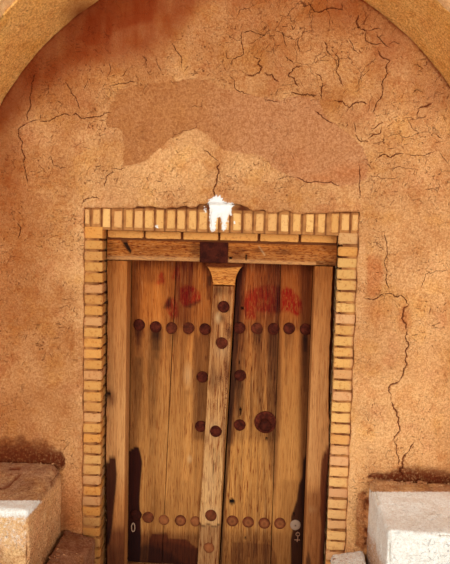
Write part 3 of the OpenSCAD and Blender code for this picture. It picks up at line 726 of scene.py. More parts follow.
# The old repair and the patch beside the door have red earth in them.
repair_red = [(350, 172, 26, 10, 0.6), (296, 160, 20, 12, 0.4), (325, 179, 34, 6, 0.5)]
wall_red = [(378, 312, 14, 14, 0.4), (405, 318, 8, 16, 0.75), (367, 540, 5, 30, 0.4), (70, 520, 12, 50, 0.5)]
red = np.maximum(smooth_step(signed_reach(px, py, red_patch), -0.8, 0.8) * 0.7, gold * 0.35)
red = np.maximum(red, 0.75 * eaten)
red = np.maximum(red, patch * oval(px, py, *repair_red))
red = np.maximum(red, oval(px, py, *wall_red))
# The net of hairline cracks is densest at the upper right, thins out lower down and spares the old repair.
net_columns, net_rows = (235, 290), (120, 150)
thin_columns, thin_rows, net_foot = (340, 400), (190, 230), 190
net = smooth_step(px, *net_columns) * (1 - smooth_step(py, *net_rows))
net = net + 0.5 * smooth_step(px, *thin_columns) * (1 - smooth_step(py, *thin_rows)) + 0.35 * (py < net_foot)
net = np.clip(net, 0, 1) * (1 - patch)
# The rim of the coat turns back into the wall, and a flat sheet closes it from behind.
tuck = 0.035
patch_columns = (170, 270)
count = len(flat)
points = np.stack([x, y, z], 1)
rim_order = sorted((i for i, origin in enumerate(from_verts) if origin and min(origin) < len(rim)),
                   key=lambda i: min(from_verts[i]))
behind = points[rim_order].copy()
behind[:, 1] = wall_y + tuck
rim_count = len(rim_order)
loop = [(i, (i + 1) % rim_count) for i in range(rim_count)]
rim_faces = [(rim_order[i], rim_order[j], count + j, count + i) for i, j in loop]
back = delaunay_2d_cdt([Vector((p[0], p[2])) for p in behind], loop, [], 0, 1e-6, False)[2]
centres = np.array([behind[list(f)].mean(0) for f in back])
kept = signed_reach(centres[:, 0], centres[:, 2], [(p[0], p[2]) for p in behind]) > 0
back = [tuple(count + i for i in f) for f, keep in zip(back, kept) if keep]
in_crack = np.where(sunk < -0.002, 0.95, 0.0)
marks = {"patch_right": smooth_step(px, *patch_columns), "crack": np.maximum(in_crack, 0.85 * corner_dark),
         "patch": patch, "calm": calm, "damp": damp, "tone": tone, "foot": foot, "pale": np.clip(pale, 0, 1),
         "red": np.clip(red, 0, 1), "net": net,
         "gypsum": smooth_step(signed_reach(px, py, splash), -3.5, 2.5)}
marks = {name: np.concatenate([values, np.zeros(rim_count)]) for name, values in marks.items()}
put_piece("niche_plaster", np.vstack([points, behind]), [tuple(f[::-1]) for f in faces] + rim_faces + back,
          [wall_plaster], marks=marks)

# The street front and the inside of the arch are one skin of mud over adobe: from the back corner of the
# niche forward over a rounded, rain-worn edge and out over the piers and the wall above the arch.
front_y, rear_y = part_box("left_pier")[0].y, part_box("back_wall_over")[1].y
half_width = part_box("parapet")[1].x
wall_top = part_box("parapet")[1].z
facade_plaster = plaster_material("facade_plaster", (236, 184, 128), (204, 148, 92), 0.7)
soffit_plaster = plaster_material("soffit_plaster", (255, 202, 112), (244, 172, 86), 1.2)


def swept(loops):
    """Faces that join a row of closed loops, (s, n, 3), with a cap on the first and the last."""
    rows, n = loops.shape[:2]
    made = []
    for i in range(rows - 1):
        a, b = i * n, (i + 1) * n
        made += [(a + j, a + (j + 1) % n, b + (j + 1) % n, b + j) for j in range(n)]
    return made + [tuple(range(n))[::-1], tuple(range((rows - 1) * n, rows * n))]


def wall_loops(inner, outer, start_y, end_y, stop_y, edge_r, step):
    """Loops through a wall round an opening: reveal, rounded edge, face, outer side and back."""
    away = across_of(inner)
    sign = math.copysign(1, end_y - start_y)
    parts, reach = [], int(abs(end_y - start_y) / step)
    for i in range(reach + 1):
        parts.append((0.0, 0.0, start_y + (end_y - sign * edge_r - start_y) * i / reach, "reveal"))
    for degrees in (18, 36, 54, 72):
        turn = math.radians(degrees)
        at_y = end_y - sign * edge_r * (1 - math.sin(turn))
        parts.append((edge_r * (1 - math.cos(turn)), 0.0, at_y, "edge"))
    face_rows = 26
    for i in range(face_rows + 1):
        parts.append((edge_r, (i / face_rows) ** 1.1, end_y, "face"))
    for t in (0.06, 0.3, 0.55, 0.8, 1.0):
        parts.append((edge_r, 1.0, end_y + (stop_y - end_y) * t, "side"))
    parts.append((edge_r, 0.5, stop_y, "hidden"))
    loops = np.zeros((len(inner), len(parts), 3))
    kinds = [p[3] for p in parts]
    for k, (grow, share, y, _) in enumerate(parts):
        base = inner + away * grow
        flat_xz = base + (outer - base) * share
        loops[:, k] = np.stack([flat_xz[:, 0], np.full(len(inner), y), flat_xz[:, 1]], 1)
    return loops, np.array(kinds), np.stack([away[:, 0], np.zeros(len(away)), away[:, 1]], 1)


legs = walk([(-niche_half, 0), (-niche_half, springing)], 0.018)[:-1]
inner = np.vstack([legs, arch_edge(0, 0.016), [(-x, z) for x, z in legs[::-1]]])
bearing = np.arctan2(inner[:, 1] - springing, inner[:, 0])
outer_z = np.where(inner[:, 1] <= springing, inner[:, 1], 0)
outer_x = np.where(inner[:, 0] < 0, -half_width, half_width)
for i in range(len(inner)):
    if inner[i, 1] > springing:
        c, s = abs(math.cos(bearing[i])), math.sin(bearing[i])
        t = min(half_width / max(c, 1e-6), (wall_top - springing) / max(s, 1e-6))
        outer_x[i], outer_z[i] = math.copysign(c * t, inner[i, 0]), springing + s * t
for side in (-1, 1):
    i = int(np.argmin(np.hypot(outer_x - side * half_width, outer_z - wall_top)))
    outer_x[i], outer_z[i] = side * half_width, wall_top
arris_r = 0.034
behind_coat, stop_y = wall_y + 0.028, wall_y + 0.026
loops, kinds, away = wall_loops(
    inner, np.stack([outer_x, outer_z], 1), behind_coat, front_y, stop_y, arris_r, 0.016)
points = loops.reshape(-1, 3)
kind_of = np.tile(kinds, len(inner))
out = np.repeat(away, len(kinds), axis=0)
wave = relief(points, [(0.5, 0.007), (0.16, 0.0035), (0.05, 0.002), (0.02, 0.0012)], 31)
worn = np.isin(kind_of, ["edge", "reveal"])
points = points + out * (wave * worn)[:, None]
bite = 0.012 * smooth_step(soft_noise(points, 0.11, 40), 0.1, 0.7) * (kind_of == "edge")
points = points + out * bite[:, None]
on_face = np.isin(kind_of, ["edge", "face"])
points[:, 1] += np.where(on_face, np.abs(wave) + 0.002 + bite, 0)
points[:, 2] = np.where(points[:, 2] < 0, 0, points[:, 2])
# The crack mark also darkens the reveal along its corner with the niche wall.
near_back = np.clip((points[:, 1] - (wall_y - 0.02)) / 0.012, 0, 1) * (kind_of == "reveal")
drip = (82, 14, 22, 22, 0.8)
foot_high = 0.25
px, py = to_pixels(points)
marks = {"calm": 0.7 * (kind_of == "reveal"), "crack": 0.5 * near_back, "tone": -0.1 * worn,
         "damp": oval(px, py, drip) * (kind_of == "reveal"), "pale": 0.35 * on_face,
         "foot": np.clip(0.55 * (1 - points[:, 2] / foot_high) * on_face, 0, 1)}
faces = swept(points.reshape(loops.shape))
n = len(kinds)


def in_reveal(face):
    """Whether a face lies on the inside of the arch, which has the finer and yellower mud."""
    places = [v % n for v in face]
    return len(face) == 4 and kinds[min(places)] == "reveal" and kinds[max(places)] != "hidden"


put_piece(
    "street_front", points, faces, [facade_plaster, soffit_plaster], marks=marks,
    face_material=[1 if in_reveal(face) else 0 for face in faces],
    stands_for=("left_pier", "right_pier", "arch_left_low", "arch_left_middle", "arch_left_top",
                "arch_right_low", "arch_right_middle", "arch_right_top", "left_spandrel", "right_spandrel",
                "parapet"))

# The house side of the wall is not seen from the street. It is plain mud plaster, with a square opening
# behind the door whose edges are rounded by use.
beam_low, beam_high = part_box("rear_lintel_beams")[0].z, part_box("rear_lintel_beams")[1].z
beam_left, beam_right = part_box("rear_lintel_beams")[0].x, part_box("rear_lintel_beams")[1].x
reveal_left, reveal_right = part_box("back_wall_left")[1].x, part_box("back_wall_right")[0].x
bend = 0.07
opening = [(reveal_left, 0), (reveal_left, beam_low), (beam_left, beam_low), (beam_left, beam_high),
           (beam_left + bend, beam_high), (beam_right - bend, beam_high), (beam_right, beam_high),
           (beam_right, beam_low), (reveal_right, beam_low), (reveal_right, 0)]
limit = [(-half_width, 0), (-half_width, 1.9), (-half_width, 2.2), (-half_width, 2.4),
         (-half_width, wall_top), (half_width, wall_top), (half_width, 2.4), (half_width, 2.2),
         (half_width, 1.9), (half_width, 0)]
inner_line, outer_line = [], []
for a, b, c, d in zip(opening, opening[1:], limit, limit[1:]):
    pieces = max(2, round(math.dist(a, b) / 0.03))
    for i in range(pieces):
        t = i / pieces
        inner_line.append((a[0] + (b[0] - a[0]) * t, a[1] + (b[1] - a[1]) * t))
        outer_line.append((c[0] + (d[0] - c[0]) * t, c[1] + (d[1] - c[1]) * t))
inner_line.append(opening[-1])
outer_line.append(limit[-1])
loops, kinds, _ = wall_loops(np.array(inner_line), np.array(outer_line), wall_y + 0.027, rear_y, stop_y,
                             0.012, 0.03)
points = loops.reshape(-1, 3)
kind_of = np.tile(kinds, len(inner_line))
wave = relief(points, [(0.6, 0.006), (0.17, 0.003), (0.05, 0.0015)], 57)
points[:, 1] -= np.where(np.isin(kind_of, ["edge", "face"]), np.abs(wave) + 0.001, 0)
put_piece("house_side", points, swept(points.reshape(loops.shape)), [facade_plaster],
          marks={"calm": np.full(len(points), 0.3)},
          stands_for=("back_wall_left", "back_wall_right", "back_wall_over"))

# A coping of mud is laid on the wall head by hand to shed the rain. It laps a little down over the
# plaster, and its edges are worn round.
coping_lap = 0.035
coping_plaster = plaster_material("coping_plaster", (214, 168, 122), (190, 138, 92), 0.9)


def ticks(length, edge_r, step):
    """Places along one side of a block: close together in the rounded edges, then even."""
    bend_at = [0, 0.3 * edge_r, 0.62 * edge_r, edge_r]
    inside = length - 2 * edge_r
    count = max(1, round(inside / step))
    even = [edge_r + inside * (i + 1) / count for i in range(count)]
    return np.array(bend_at + even + [length - b for b in bend_at[-2::-1]])


def worn_block(low, high, edge_r, steps, wear=(), chip=0.0, seed=0):
    """A closed block with rounded edges, worn inward by noise. Gives its points and faces."""
    low, high = np.array(low, float), np.array(high, float)
    axes = [ticks(high[i] - low[i], edge_r, steps[i]) for i in range(3)]
    n = [len(a) for a in axes]
    index, points = {}, []

    def corner(i, j, k):
        if (i, j, k) not in index:
            index[i, j, k] = len(points)
            points.append((axes[0][i], axes[1][j], axes[2][k]))
        return index[i, j, k]

    made = []
    for a, b, c in ((0, 1, 2), (1, 2, 0), (2, 0, 1)):
        for end in (0, n[c] - 1):
            for i in range(n[a] - 1):
                for j in range(n[b] - 1):
                    quad = []
                    for di, dj in ((0, 0), (1, 0), (1, 1), (0, 1)):
                        spot_at = [0, 0, 0]
                        spot_at[a], spot_at[b], spot_at[c] = i + di, j + dj, end
                        quad.append(corner(*spot_at))
                    made.append(tuple(quad if end else quad[::-1]))
    points = np.array(points) + low
    core = np.clip(points, low + edge_r, high - edge_r)
    off = points - core
    off /= np.maximum(np.linalg.norm(off, axis=1), 1e-9)[:, None]
    points = core + off * edge_r
    sunk = np.zeros(len(points))
    for i, (cell, depth) in enumerate(wear):
        cell = np.array(cell if isinstance(cell, tuple) else (cell,) * 3)
        sunk += depth * (0.5 + 0.5 * soft_noise(points / cell, 1.0, seed + i))
    if chip:
        edge = np.clip((1 - np.abs(off).max(1)) / 0.29, 0, 1)
        sunk += chip * edge * smooth_step(soft_noise(points, 0.03 + chip * 2, seed + 9), 0.0, 0.8)
    return points - off * sunk[:, None], made


def joined(blocks):
    """One list of points, of faces and of marks out of (points, faces, marks) blocks."""
    points, faces, marks = [], [], {}
    at = 0
    for p, f, m in blocks:
        points.append(p)
        faces += [tuple(v + at for v in face) for face in f]
        for key, value in m.items():
            marks.setdefault(key, []).append(np.full(len(p), value) if np.isscalar(value) else value)
        at += len(p)
    return np.vstack(points), faces, {k: np.concatenate(v) for k, v in marks.items()}


low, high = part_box("coping")
points, faces = worn_block((low.x, low.y, low.z - coping_lap), high, 0.024, (0.045, 0.045, 0.02),
                           [(0.4, 0.005), (0.09, 0.003), (0.03, 0.002)], 0.012, 71)
put_piece("mud_coping", points, faces, [coping_plaster], stands_for=("coping",))

# The door surround is buff fired brick in thin mud joints: headers in both jambs, one flat course set back
# over the timber head, and a row of soldiers on top. The faces are rubbed round by hands and rain.
course = 0.0611
joint = 0.0056


def brick_material(name, mud):
    """Fired brick, or the mud of its joints, with dirt and painted shade and splashed gypsum on both."""
    s = Shader(name, roughness=0.9, specular=0.15)
    if mud:
        colour = s.mix(s.noise(30, 4, 0.7), (140, 78, 34), (222, 156, 88))
        height = s.noise(90, 4, 0.7)
    else:
        warm = s.mark("warm")
        colour = s.mix(s.mark("tone"), (214, 146, 72), (252, 198, 118))
        colour = s.mix(s.ramp(warm, 0.6, 0.95, 0.0, 0.9), colour, (242, 162, 76))
        colour = s.mix(s.ramp(warm, 0.36, 0.08, 0.0, 0.7), colour, (230, 166, 118))
        colour = s.tint(s.ramp(s.noise(34, 5, 0.65), 0.4, 0.7, 0.0, 0.45), colour, (110, 86, 50), "SCREEN")
        colour = s.tint(s.ramp(s.noise(60, 4, 0.7), 0.52, 0.68, 0.0, 0.55), colour, (196, 140, 96))
        colour = s.mix(s.ramp(s.noise(140, 3, 0.7), 0.6, 0.74, 0.0, 0.6), colour, (150, 84, 36))
        smeared = s.mix(s.noise(60, 4, 0.7), (196, 124, 76), (232, 176, 124))
        colour = s.mix(s.mark("worn"), colour, smeared)
        height = s.plus(s.noise(45, 5, 0.7), s.times(s.noise(200, 3, 0.7), 0.5))
    colour = s.mix(s.mark("grime"), colour, (88, 36, 12))
    white = s.plus(s.mark("gypsum"), s.swing(s.noise(75, 4, 0.75), 1.9))
    colour = s.mix(s.ramp(white, 0.44, 0.6), colour, (246, 240, 226))
    return s.finish(colour, height, 0.8, 0.004)


fired_brick, joint_mud = brick_material("fired_brick", False), brick_material("joint_mud", True)
roll = np.random.default_rng(11)
drops = [(157, 226.5, 2.4, 2.4, 1), (205, 211, 3, 6, 0.6), (235, 222.5, 2, 3, 0.8), (213, 222, 4, 9, 0.75),
         (225, 222, 5, 9, 0.6), (356, 222, 3, 8, 0.35)]


def splashed(points):
    """How much gypsum has splashed on each point of the bricks."""
    px, py = to_pixels(points)
    return np.maximum(smooth_step(signed_reach(px, py, splash), -3, 2.5), oval(px, py, *drops))


def brick(low, high, seed, worn, back_step, tone, warm):
    """One hand-moulded brick, with its own tone and a little play in its joint."""
    shake = roll.uniform(-0.0016, 0.0016, 3)
    low = np.array(low) + (shake[0], abs(shake[1]) * 2 + 0.004 * worn * roll.random(), shake[2] * 0.5)
    high = np.array(high) + (shake[0], 0, shake[2] * 0.5)
    points, faces = worn_block(low, high, roll.uniform(0.007, 0.011), (0.014, back_step, 0.012),
                               [(0.05, 0.003), (0.016, 0.0026 + 0.002 * worn)], 0.009 + 0.004 * worn, seed)
    tone = np.clip(roll.normal(tone, 0.14), 0, 1)
    # A point deeper in its joint is painted darker, as painted shade in the recess.
    grime = np.clip((points[:, 1] - low[1] - 0.02) * 3, 0, 0.12)
    return points, faces, {"tone": tone, "warm": warm, "worn": worn, "grime": grime,
                           "gypsum": splashed(points)}


def put_bricks(name, blocks, mud_low, mud_high, stands_for, shade, steps=(0.02, 0.03, 0.015)):
    """Lays bricks in a bed of mud, whose darkness the shade function gives."""
    points, faces = worn_block(mud_low, mud_high, 0.003, steps, [(0.03, 0.004), (0.012, 0.002)], 0, 5)
    mud = {"tone": 0.0, "warm": 0.0, "worn": 0.0, "grime": shade(points), "gypsum": splashed(points)}
    mud_faces = len(faces)
    points, faces, marks = joined([(points, faces, mud)] + blocks)
    put_piece(name, points, faces, [fired_brick, joint_mud], marks=marks,
              face_material=np.arange(len(faces)) < mud_faces, stands_for=(stands_for,))


jut = 0.015
jamb_looks = {
    "left": {"tone": 0.1, "warm": [0.2, 0.3, 0.5, 0.7, 0.8, 0.86], "mud": 0.62, "smear": 0.4,
             "grime": [(240, 0.15), (440, 0.12), (470, 0.18), (500, 0.3), (530, 0.5)]},
    "right": {"tone": 0.55, "warm": [0.12, 0.2, 0.45, 0.5, 0.72, 0.84], "mud": 0.7, "smear": 0.8,
              "grime": [(240, 0.24), (300, 0.16), (400, 0.07), (430, 0.0)]}}
right_foot_tone = [(430, 0.0), (470, 0.3), (560, 0.6)]
for side, looks in jamb_looks.items():
    is_left = side == "left"
    low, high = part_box("brick_jamb_" + side)
    blocks = []
    last = int(high.z / course + 0.5) - 1
    for i in range(last + 1):
        z = i * course
        worn = 0.0 if is_left else float(np.clip(0.8 - abs(z - 0.6) / 0.7, 0, 0.7)) * roll.uniform(0.4, 1)
        top = z + course - joint / 2 + (0.014 if i == last else 0.0)
        warm = roll.choice(looks["warm"])
        start = (low.x + (0.001 if is_left else 0.0), low.y, z + joint / 2)
        points, faces, marks = brick(start, (high.x, high.y, top), 100 + i, worn, 0.03, looks["tone"], warm)
        # The sides of the right jamb's bricks are painted lighter as painted light, and lose their painted
        # recess shade.
        if not is_left:
            marks["tone"] = marks["tone"] + 0.9 * smooth_step(points[:, 1], low.y + 0.004, low.y + 0.02)
            marks["grime"] = marks["grime"] * 0
        blocks.append((points, faces, marks))
    for points, faces, marks in blocks:
        from_wall = (points[:, 0] - low.x) / (high.x - low.x)
        from_wall = from_wall if is_left else 1 - from_wall
        in_front = 1 - smooth_step(points[:, 1], low.y + 0.02, low.y + 0.11)
        points[:, 0] += jut * smooth_step(from_wall, 0.3, 1.0) * in_front * (1 if is_left else -1)
        smear = 1 - smooth_step(from_wall, 0.02, 0.3)
        smear = smear * smooth_step(soft_noise(points, 0.05, 33), -0.3, 0.3)
        marks["worn"] = np.maximum(marks["worn"], looks["smear"] * smear)
        py = to_pixels(points)[1]
        marks["grime"] = marks["grime"] + np.interp(py, *zip(*looks["grime"]))
        if not is_left:
            marks["tone"] = marks["tone"] + np.interp(py, *zip(*right_foot_tone))
    door_gap, wall_gap = 0.008, 0.001
    mud_low = (low.x + (wall_gap if is_left else door_gap), low.y + 0.0075, 0)
    mud_high = (high.x - (door_gap if is_left else wall_gap), high.y, high.z)
    door_edge = high.x if is_left else low.x

    def mud_tone(points, looks=looks, door_edge=door_edge):
        """The joints are darkest next to the door and filled with pale mud next to the wall."""
        share = smooth_step(np.abs(points[:, 0] - door_edge), 0.015, 0.08)
        return np.clip(looks["mud"] - 0.4 * share + 0.7 * soft_noise(points, 0.03, 6), 0, 0.9)

    put_bricks("jamb_bricks_" + side, blocks, mud_low, mud_high, "brick_jamb_" + side, mud_tone)

# The joints of the flat course and the soldiers are placed by their pixel columns in the photograph.
flat_joints, flat_row = (143.6, 181.7, 219, 258.8, 299.6), 235
low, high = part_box("brick_flat_course")
stops = [low.x + 0.002] + [at_pixel(px, flat_row, low.y)[0] for px in flat_joints] + [high.x - 0.002]
blocks = []
for i, (a, b) in enumerate(zip(stops, stops[1:])):
    start, end = (a + 0.004, low.y, low.z + 0.006), (b - 0.004, high.y, high.z - 0.003)
    # The flat course bricks are given a high tone: they are painted lighter, as painted light under the
    # shade of the soldiers.
    blocks.append(brick(start, end, 200 + i, 0.05, 0.06, 1.1, 0.86))
put_bricks("flat_course_bricks", blocks, (low.x, low.y + 0.020, low.z - 0.02),
           (high.x, high.y - 0.01, high.z + 0.02), "brick_flat_course",
           lambda points: np.full(len(points), 0.85))

soldier_row = 218
soldier_px = [(84.5, 89.3), (92.3, 100), (102, 109.7), (113, 121.7), (125, 132.3), (134, 142.5),
              (144.5, 153.5), (156, 163.7), (167, 175), (177, 185.3), (188, 196), (199, 207.3), (210.5, 218),
              (221, 229), (233, 241.5), (244.5, 252.3), (256, 264), (268, 277.2), (281, 289), (293.3, 301.5),
              (306, 314), (318, 325.5), (331.5, 339), (342, 350), (352.5, 359.5)]
low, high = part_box("brick_soldier_course")
blocks = []
for i, (a, b) in enumerate(soldier_px):
    left, right = at_pixel(a - 0.3, soldier_row, low.y)[0], at_pixel(b + 0.3, soldier_row, low.y)[0]
    over_jamb = i < 2 or i > len(soldier_px) - 3
    start = (max(left, low.x), low.y, low.z + (0.018 if over_jamb else 0.003))
    end = (min(right, high.x), high.y, high.z - roll.uniform(0.001, 0.012))
    worn, tone, warm = roll.uniform(0.1, 0.4), roll.uniform(0.3, 0.75), roll.uniform(0.28, 0.68)
    blocks.append(brick(start, end, 300 + i, worn, 0.06, tone, warm))
soldier_ends = np.array([at_pixel(b + 0.9, soldier_row, low.y)[0] for a, b in soldier_px])


def joint_shade(points):
    """Each joint has a painted shadow line along the brick on its left, painted shadow under the coat's
    edge, and lighter mud in the rest.
    """
    crack = np.exp(-((points[:, :1] - soldier_ends) / 0.0045) ** 2).max(1)
    above = smooth_step(points[:, 2], high.z - 0.004, high.z + 0.003)
    blotch = 0.5 + 0.9 * soft_noise(points, 0.02, 3)
    cloud = 0.55 + 0.5 * soft_noise(points, 0.04, 2)
    return np.clip(0.22 * blotch + 0.75 * crack + above * cloud, 0, 0.97)


put_bricks("soldier_bricks", blocks, (low.x + 0.003, low.y + 0.010, low.z - 0.01),
           (high.x - 0.003, high.y, high.z + 0.035), "brick_soldier_course", joint_shade,
           (0.0045, 0.04, 0.009))

# A handful of white gypsum was thrown over the edge of the coat in the middle of the door head. It has
# dried as a thin crust and has run down over the bricks in two tongues.
gypsum_cell = 0.0028
gypsum_thick = 0.0035
gypsum_from, gypsum_to = (203, 191), (240, 236)
gypsum_shader = Shader("white_gypsum", roughness=0.9, specular=0.1)
gypsum_tone = gypsum_shader.mix(gypsum_shader.noise(60, 4, 0.7), (244, 236, 220), (255, 254, 250))
gypsum_plaster = gypsum_shader.finish(gypsum_tone, gypsum_shader.noise(120, 4, 0.7), 0.7, 0.003)
left_x, top_z = at_pixel(*gypsum_from, coat_y)
right_x, low_z = at_pixel(*gypsum_to, coat_y)
columns = np.arange(left_x, right_x, gypsum_cell)
levels = np.arange(low_z, top_z, gypsum_cell)
depsgraph = bpy.context.evaluated_depsgraph_get()
skins = [BVHTree.FromObject(bpy.data.objects[name], depsgraph)
         for name in ("niche_plaster", "soldier_bricks")]
under = np.full((len(columns), len(levels)), wall_y)
for i, at_x in enumerate(columns):
    for j, at_z in enumerate(levels):
        before = Vector((at_x, wall_y - 0.1, at_z))
        hits = [skin.ray_cast(before, Vector((0, 1, 0)), 0.2)[0] for skin in skins]
        under[i, j] = min([hit.y for hit in hits if hit] or [wall_y + 0.02])
windows = np.lib.stride_tricks.sliding_window_view(np.pad(under, 3, "edge"), (3, 3))
nearest = windows.min((2, 3))
level_y = np.lib.stride_tricks.sliding_window_view(nearest, (5, 5)).mean((2, 3))
points = np.stack(np.broadcast_arrays(columns[:, None], level_y, levels[None, :]), -1).reshape(-1, 3)
px, py = to_pixels(points)
frayed = 2.2 * soft_noise(points * (1, 0, 0.55), 0.009, 21) + 1.4 * soft_noise(points, 0.02, 22)
reach = signed_reach(px, py, splash) + frayed - 0.5
points[:, 1] -= gypsum_thick * smooth_step(reach, -0.2, 1.8) - 0.003 * (1 - smooth_step(reach, -0.7, 0.3))
points[:, 1] -= 0.0012 * soft_noise(points, 0.012, 23)
number = np.arange(len(points)).reshape(len(columns), len(levels))
quads = np.stack([number[:-1, :-1], number[1:, :-1], number[1:, 1:], number[:-1, 1:]], -1).reshape(-1, 4)
quads = quads[(reach[quads] > -0.7).all(1)]
used, quads = np.unique(quads, return_inverse=True)
quads = quads.reshape(-1, 4)
points = points[used]
count = len(points)
sides = {(int(a), int(b)) for quad in quads for a, b in zip(quad, np.roll(quad, -1))}
rims = [(b, a, a + count, b + count) for a, b in sides if (b, a) not in sides]
crust = [tuple(quad) for quad in quads] + [tuple(quad[::-1] + count) for quad in quads] + rims
put_piece("gypsum_daub", np.vstack([points, points + (0, 0.006, 0)]), crust, [gypsum_plaster])

# The door frame is poplar, hewn square and left bare: a head beam on two posts and a sill. It has greyed
# and split along the grain, the posts stand off the bricks, and dark marks run up their feet.


def wood_material(name, sheltered, weathered, along="z", figure=1.0, grit=1.0, beetles=0.0):
    """Bare timber. Its (dark, light) pair goes from sheltered to weathered wood with the mark age."""
    s = Shader(name, roughness=0.85, specular=0.15)
    slow, thin = {"z": ((1, 1, 0.045), (1, 1, 0.06)), "x": ((0.07, 1, 1), (0.22, 1, 1))}[along]
    broad = s.noise(19, 4, 0.6, s.moved(slow), 0.6)
    middle = s.noise(56, 3, 0.6, s.moved(slow), 0.6)
    fine = s.noise(150, 3, 0.7, s.moved(thin), 0.6)
    share = s.swing(s.plus(s.times(broad, 0.55), s.times(middle, 0.45)), 2.4 * figure)
    share = s.plus(share, s.mark("tone"))
    colour = s.mix(s.mark("age"), s.mix(share, *sheltered), s.mix(share, *weathered))
    colour = s.tint(s.ramp(fine, 0.5, 0.68, 0.0, 0.62 * grit), colour, (168, 116, 78))
    colour = s.tint(s.ramp(fine, 0.47, 0.32, 0.0, 0.45 * grit), colour, (112, 84, 54), "SCREEN")
    hair = s.noise(330, 2, 0.6, s.moved(tuple(0.7 * v if v < 1 else 1 for v in slow)))
    colour = s.mix(s.ramp(hair, 0.56, 0.72, 0.0, 0.4 * grit), colour, (84, 38, 14))
    if beetles:
        dots = s.cells(105, s.moved((1, 1, 0.7)))
        bored = s.times(s.ramp(dots["Distance"], 0.36, 0.24), s.mark("beetle"))
        colour = s.mix(s.times(bored, beetles), colour, (92, 36, 14))
    colour = s.mix(s.mark("pale"), colour, s.mix(fine, (196, 150, 98), (232, 192, 136)))
    colour = s.tint(s.mark("dirt"), colour, (126, 114, 116))
    blot = s.ramp(s.noise(80, 4, 0.75, s.moved((1, 1, 0.3)), 1.0), 0.36, 0.56, 0.15, 1.0)
    colour = s.tint(s.times(s.mark("red"), blot), colour, (228, 82, 48))
    colour = s.tint(s.mark("brown"), colour, (132, 94, 90))
    # This mark darkens real stains, and painted shade as well.
    colour = s.tint(s.mark("stain"), colour, (76, 40, 30))
    colour = s.mix(s.mark("hole"), colour, (20, 7, 3))
    height = s.plus(fine, s.times(hair, 0.5))
    return s.finish(colour, s.times(height, -1.0), 0.9, 0.003)


sheltered_poplar = ((136, 70, 22), (200, 120, 52))
grey_poplar = ((162, 100, 50), (220, 158, 94))
frame_timber = wood_material("frame_timber", sheltered_poplar, grey_poplar, figure=0.6, grit=0.9)
sheltered_head = ((124, 60, 16), (212, 126, 50))
grey_head = ((150, 92, 46), (214, 154, 88))
head_timber = wood_material("head_timber", sheltered_head, grey_head, "x", grit=2.3)


def stains_of(points, tone=0.5, fade=(), age=(), hole=(), shapes=(), **ovals):
    """Vertex marks of a timber: soft ovals by name, and shapes as (mark, strength, softness, outline)."""
    px, py = to_pixels(points)
    marks = {k: np.zeros(len(points)) for k in ("pale", "dirt", "red", "brown", "stain", "beetle", "hole")}
    marks["tone"] = np.full(len(points), tone)
    marks["age"] = np.interp(py, *zip(*age)) if age else np.full(len(points), 0.5)
    for key, spots in ovals.items():
        marks[key] = oval(px, py, *spots)
    if hole:
        marks["hole"] = smooth_step(oval(px, py, *hole), 0.25, 0.5)
    if fade:
        marks["tone"] = marks["tone"] + np.interp(py, *zip(*fade))
    front_y = points[:, 1].min()
    front = 1 - smooth_step(points[:, 1], front_y + 0.012, front_y + 0.03)
    for key in ovals:
        marks[key] = marks[key] * front
    for key, strength, soft, outline in shapes:
        felt = smooth_step(signed_reach(px, py, outline), -soft, soft) * front
        if key == "tone":
            marks[key] = marks[key] + strength * felt
        else:
            marks[key] = np.maximum(marks[key], strength * felt)
    return marks


def block(left, right, top, foot):
    """An upright rectangle as an outline, from the pixel columns and rows of its sides."""
    return [(left, top), (right, top), (right, foot), (left, foot)]


def runs(*places):
    """Drips below nails: (mark, strength, px, half width, from py, to py), widest and darkest on top."""
    made = []
    for mark, strength, px, half, top, end in places:
        for share in (0.25, 0.5, 0.75, 1.0):
            low, wide = top + (end - top) * share, half * (1.15 - 0.5 * share)
            outline = [(px - half, top - 3), (px + half, top - 3), (px - 0.2 + wide, low),
                       (px - 0.4 - wide, low)]
            made.append((mark, strength * (1.15 - 0.75 * share), half * 0.6, outline))
    return made


def put_timber(name, low, high, material, stands_for=(), body="portal", slot="frame_timber", shape=None,
               steps=(0.005, 0.012, 0.03), wear=None, chip=0.004, seed=0, edge_r=0.005, extra=(), **stains):
    """A worn timber with its stains, and tongues or tenons as extra blocks that are painted black as shade.
    """
    wear = wear or [((0.012, 0.012, 0.5), 0.003), ((0.05, 0.05, 0.9), 0.002)]
    points, faces = worn_block(low, high, edge_r, steps, wear, chip, seed)
    if shape:
        points = shape(points)
    marks = stains_of(points, **stains)
    front = points[:, 1] < (low[1] + high[1]) / 2
    points[:, 1] += np.where(front, 0.014 * marks["hole"] + 0.002 * marks["brown"], 0)
    blocks = [(points, faces, marks)]
    for ends in extra:
        more, more_faces = worn_block(*ends, 0.002, (0.02, 0.01, 0.03), [(0.05, 0.002)], 0, seed)
        if shape and abs(ends[0][0]) < 1e-9:
            more = shape(more)
        # The extra blocks are painted black as shade, so that the gaps show dark.
        dark = stains_of(more, 0.0)
        dark["stain"] = dark["stain"] + 0.8
        blocks.append((more, more_faces, dark))
    points, faces, marks = joined(blocks)
    return put_piece(name, points, faces, [material], body=body, stands_for=stands_for,
                     marks=marks)


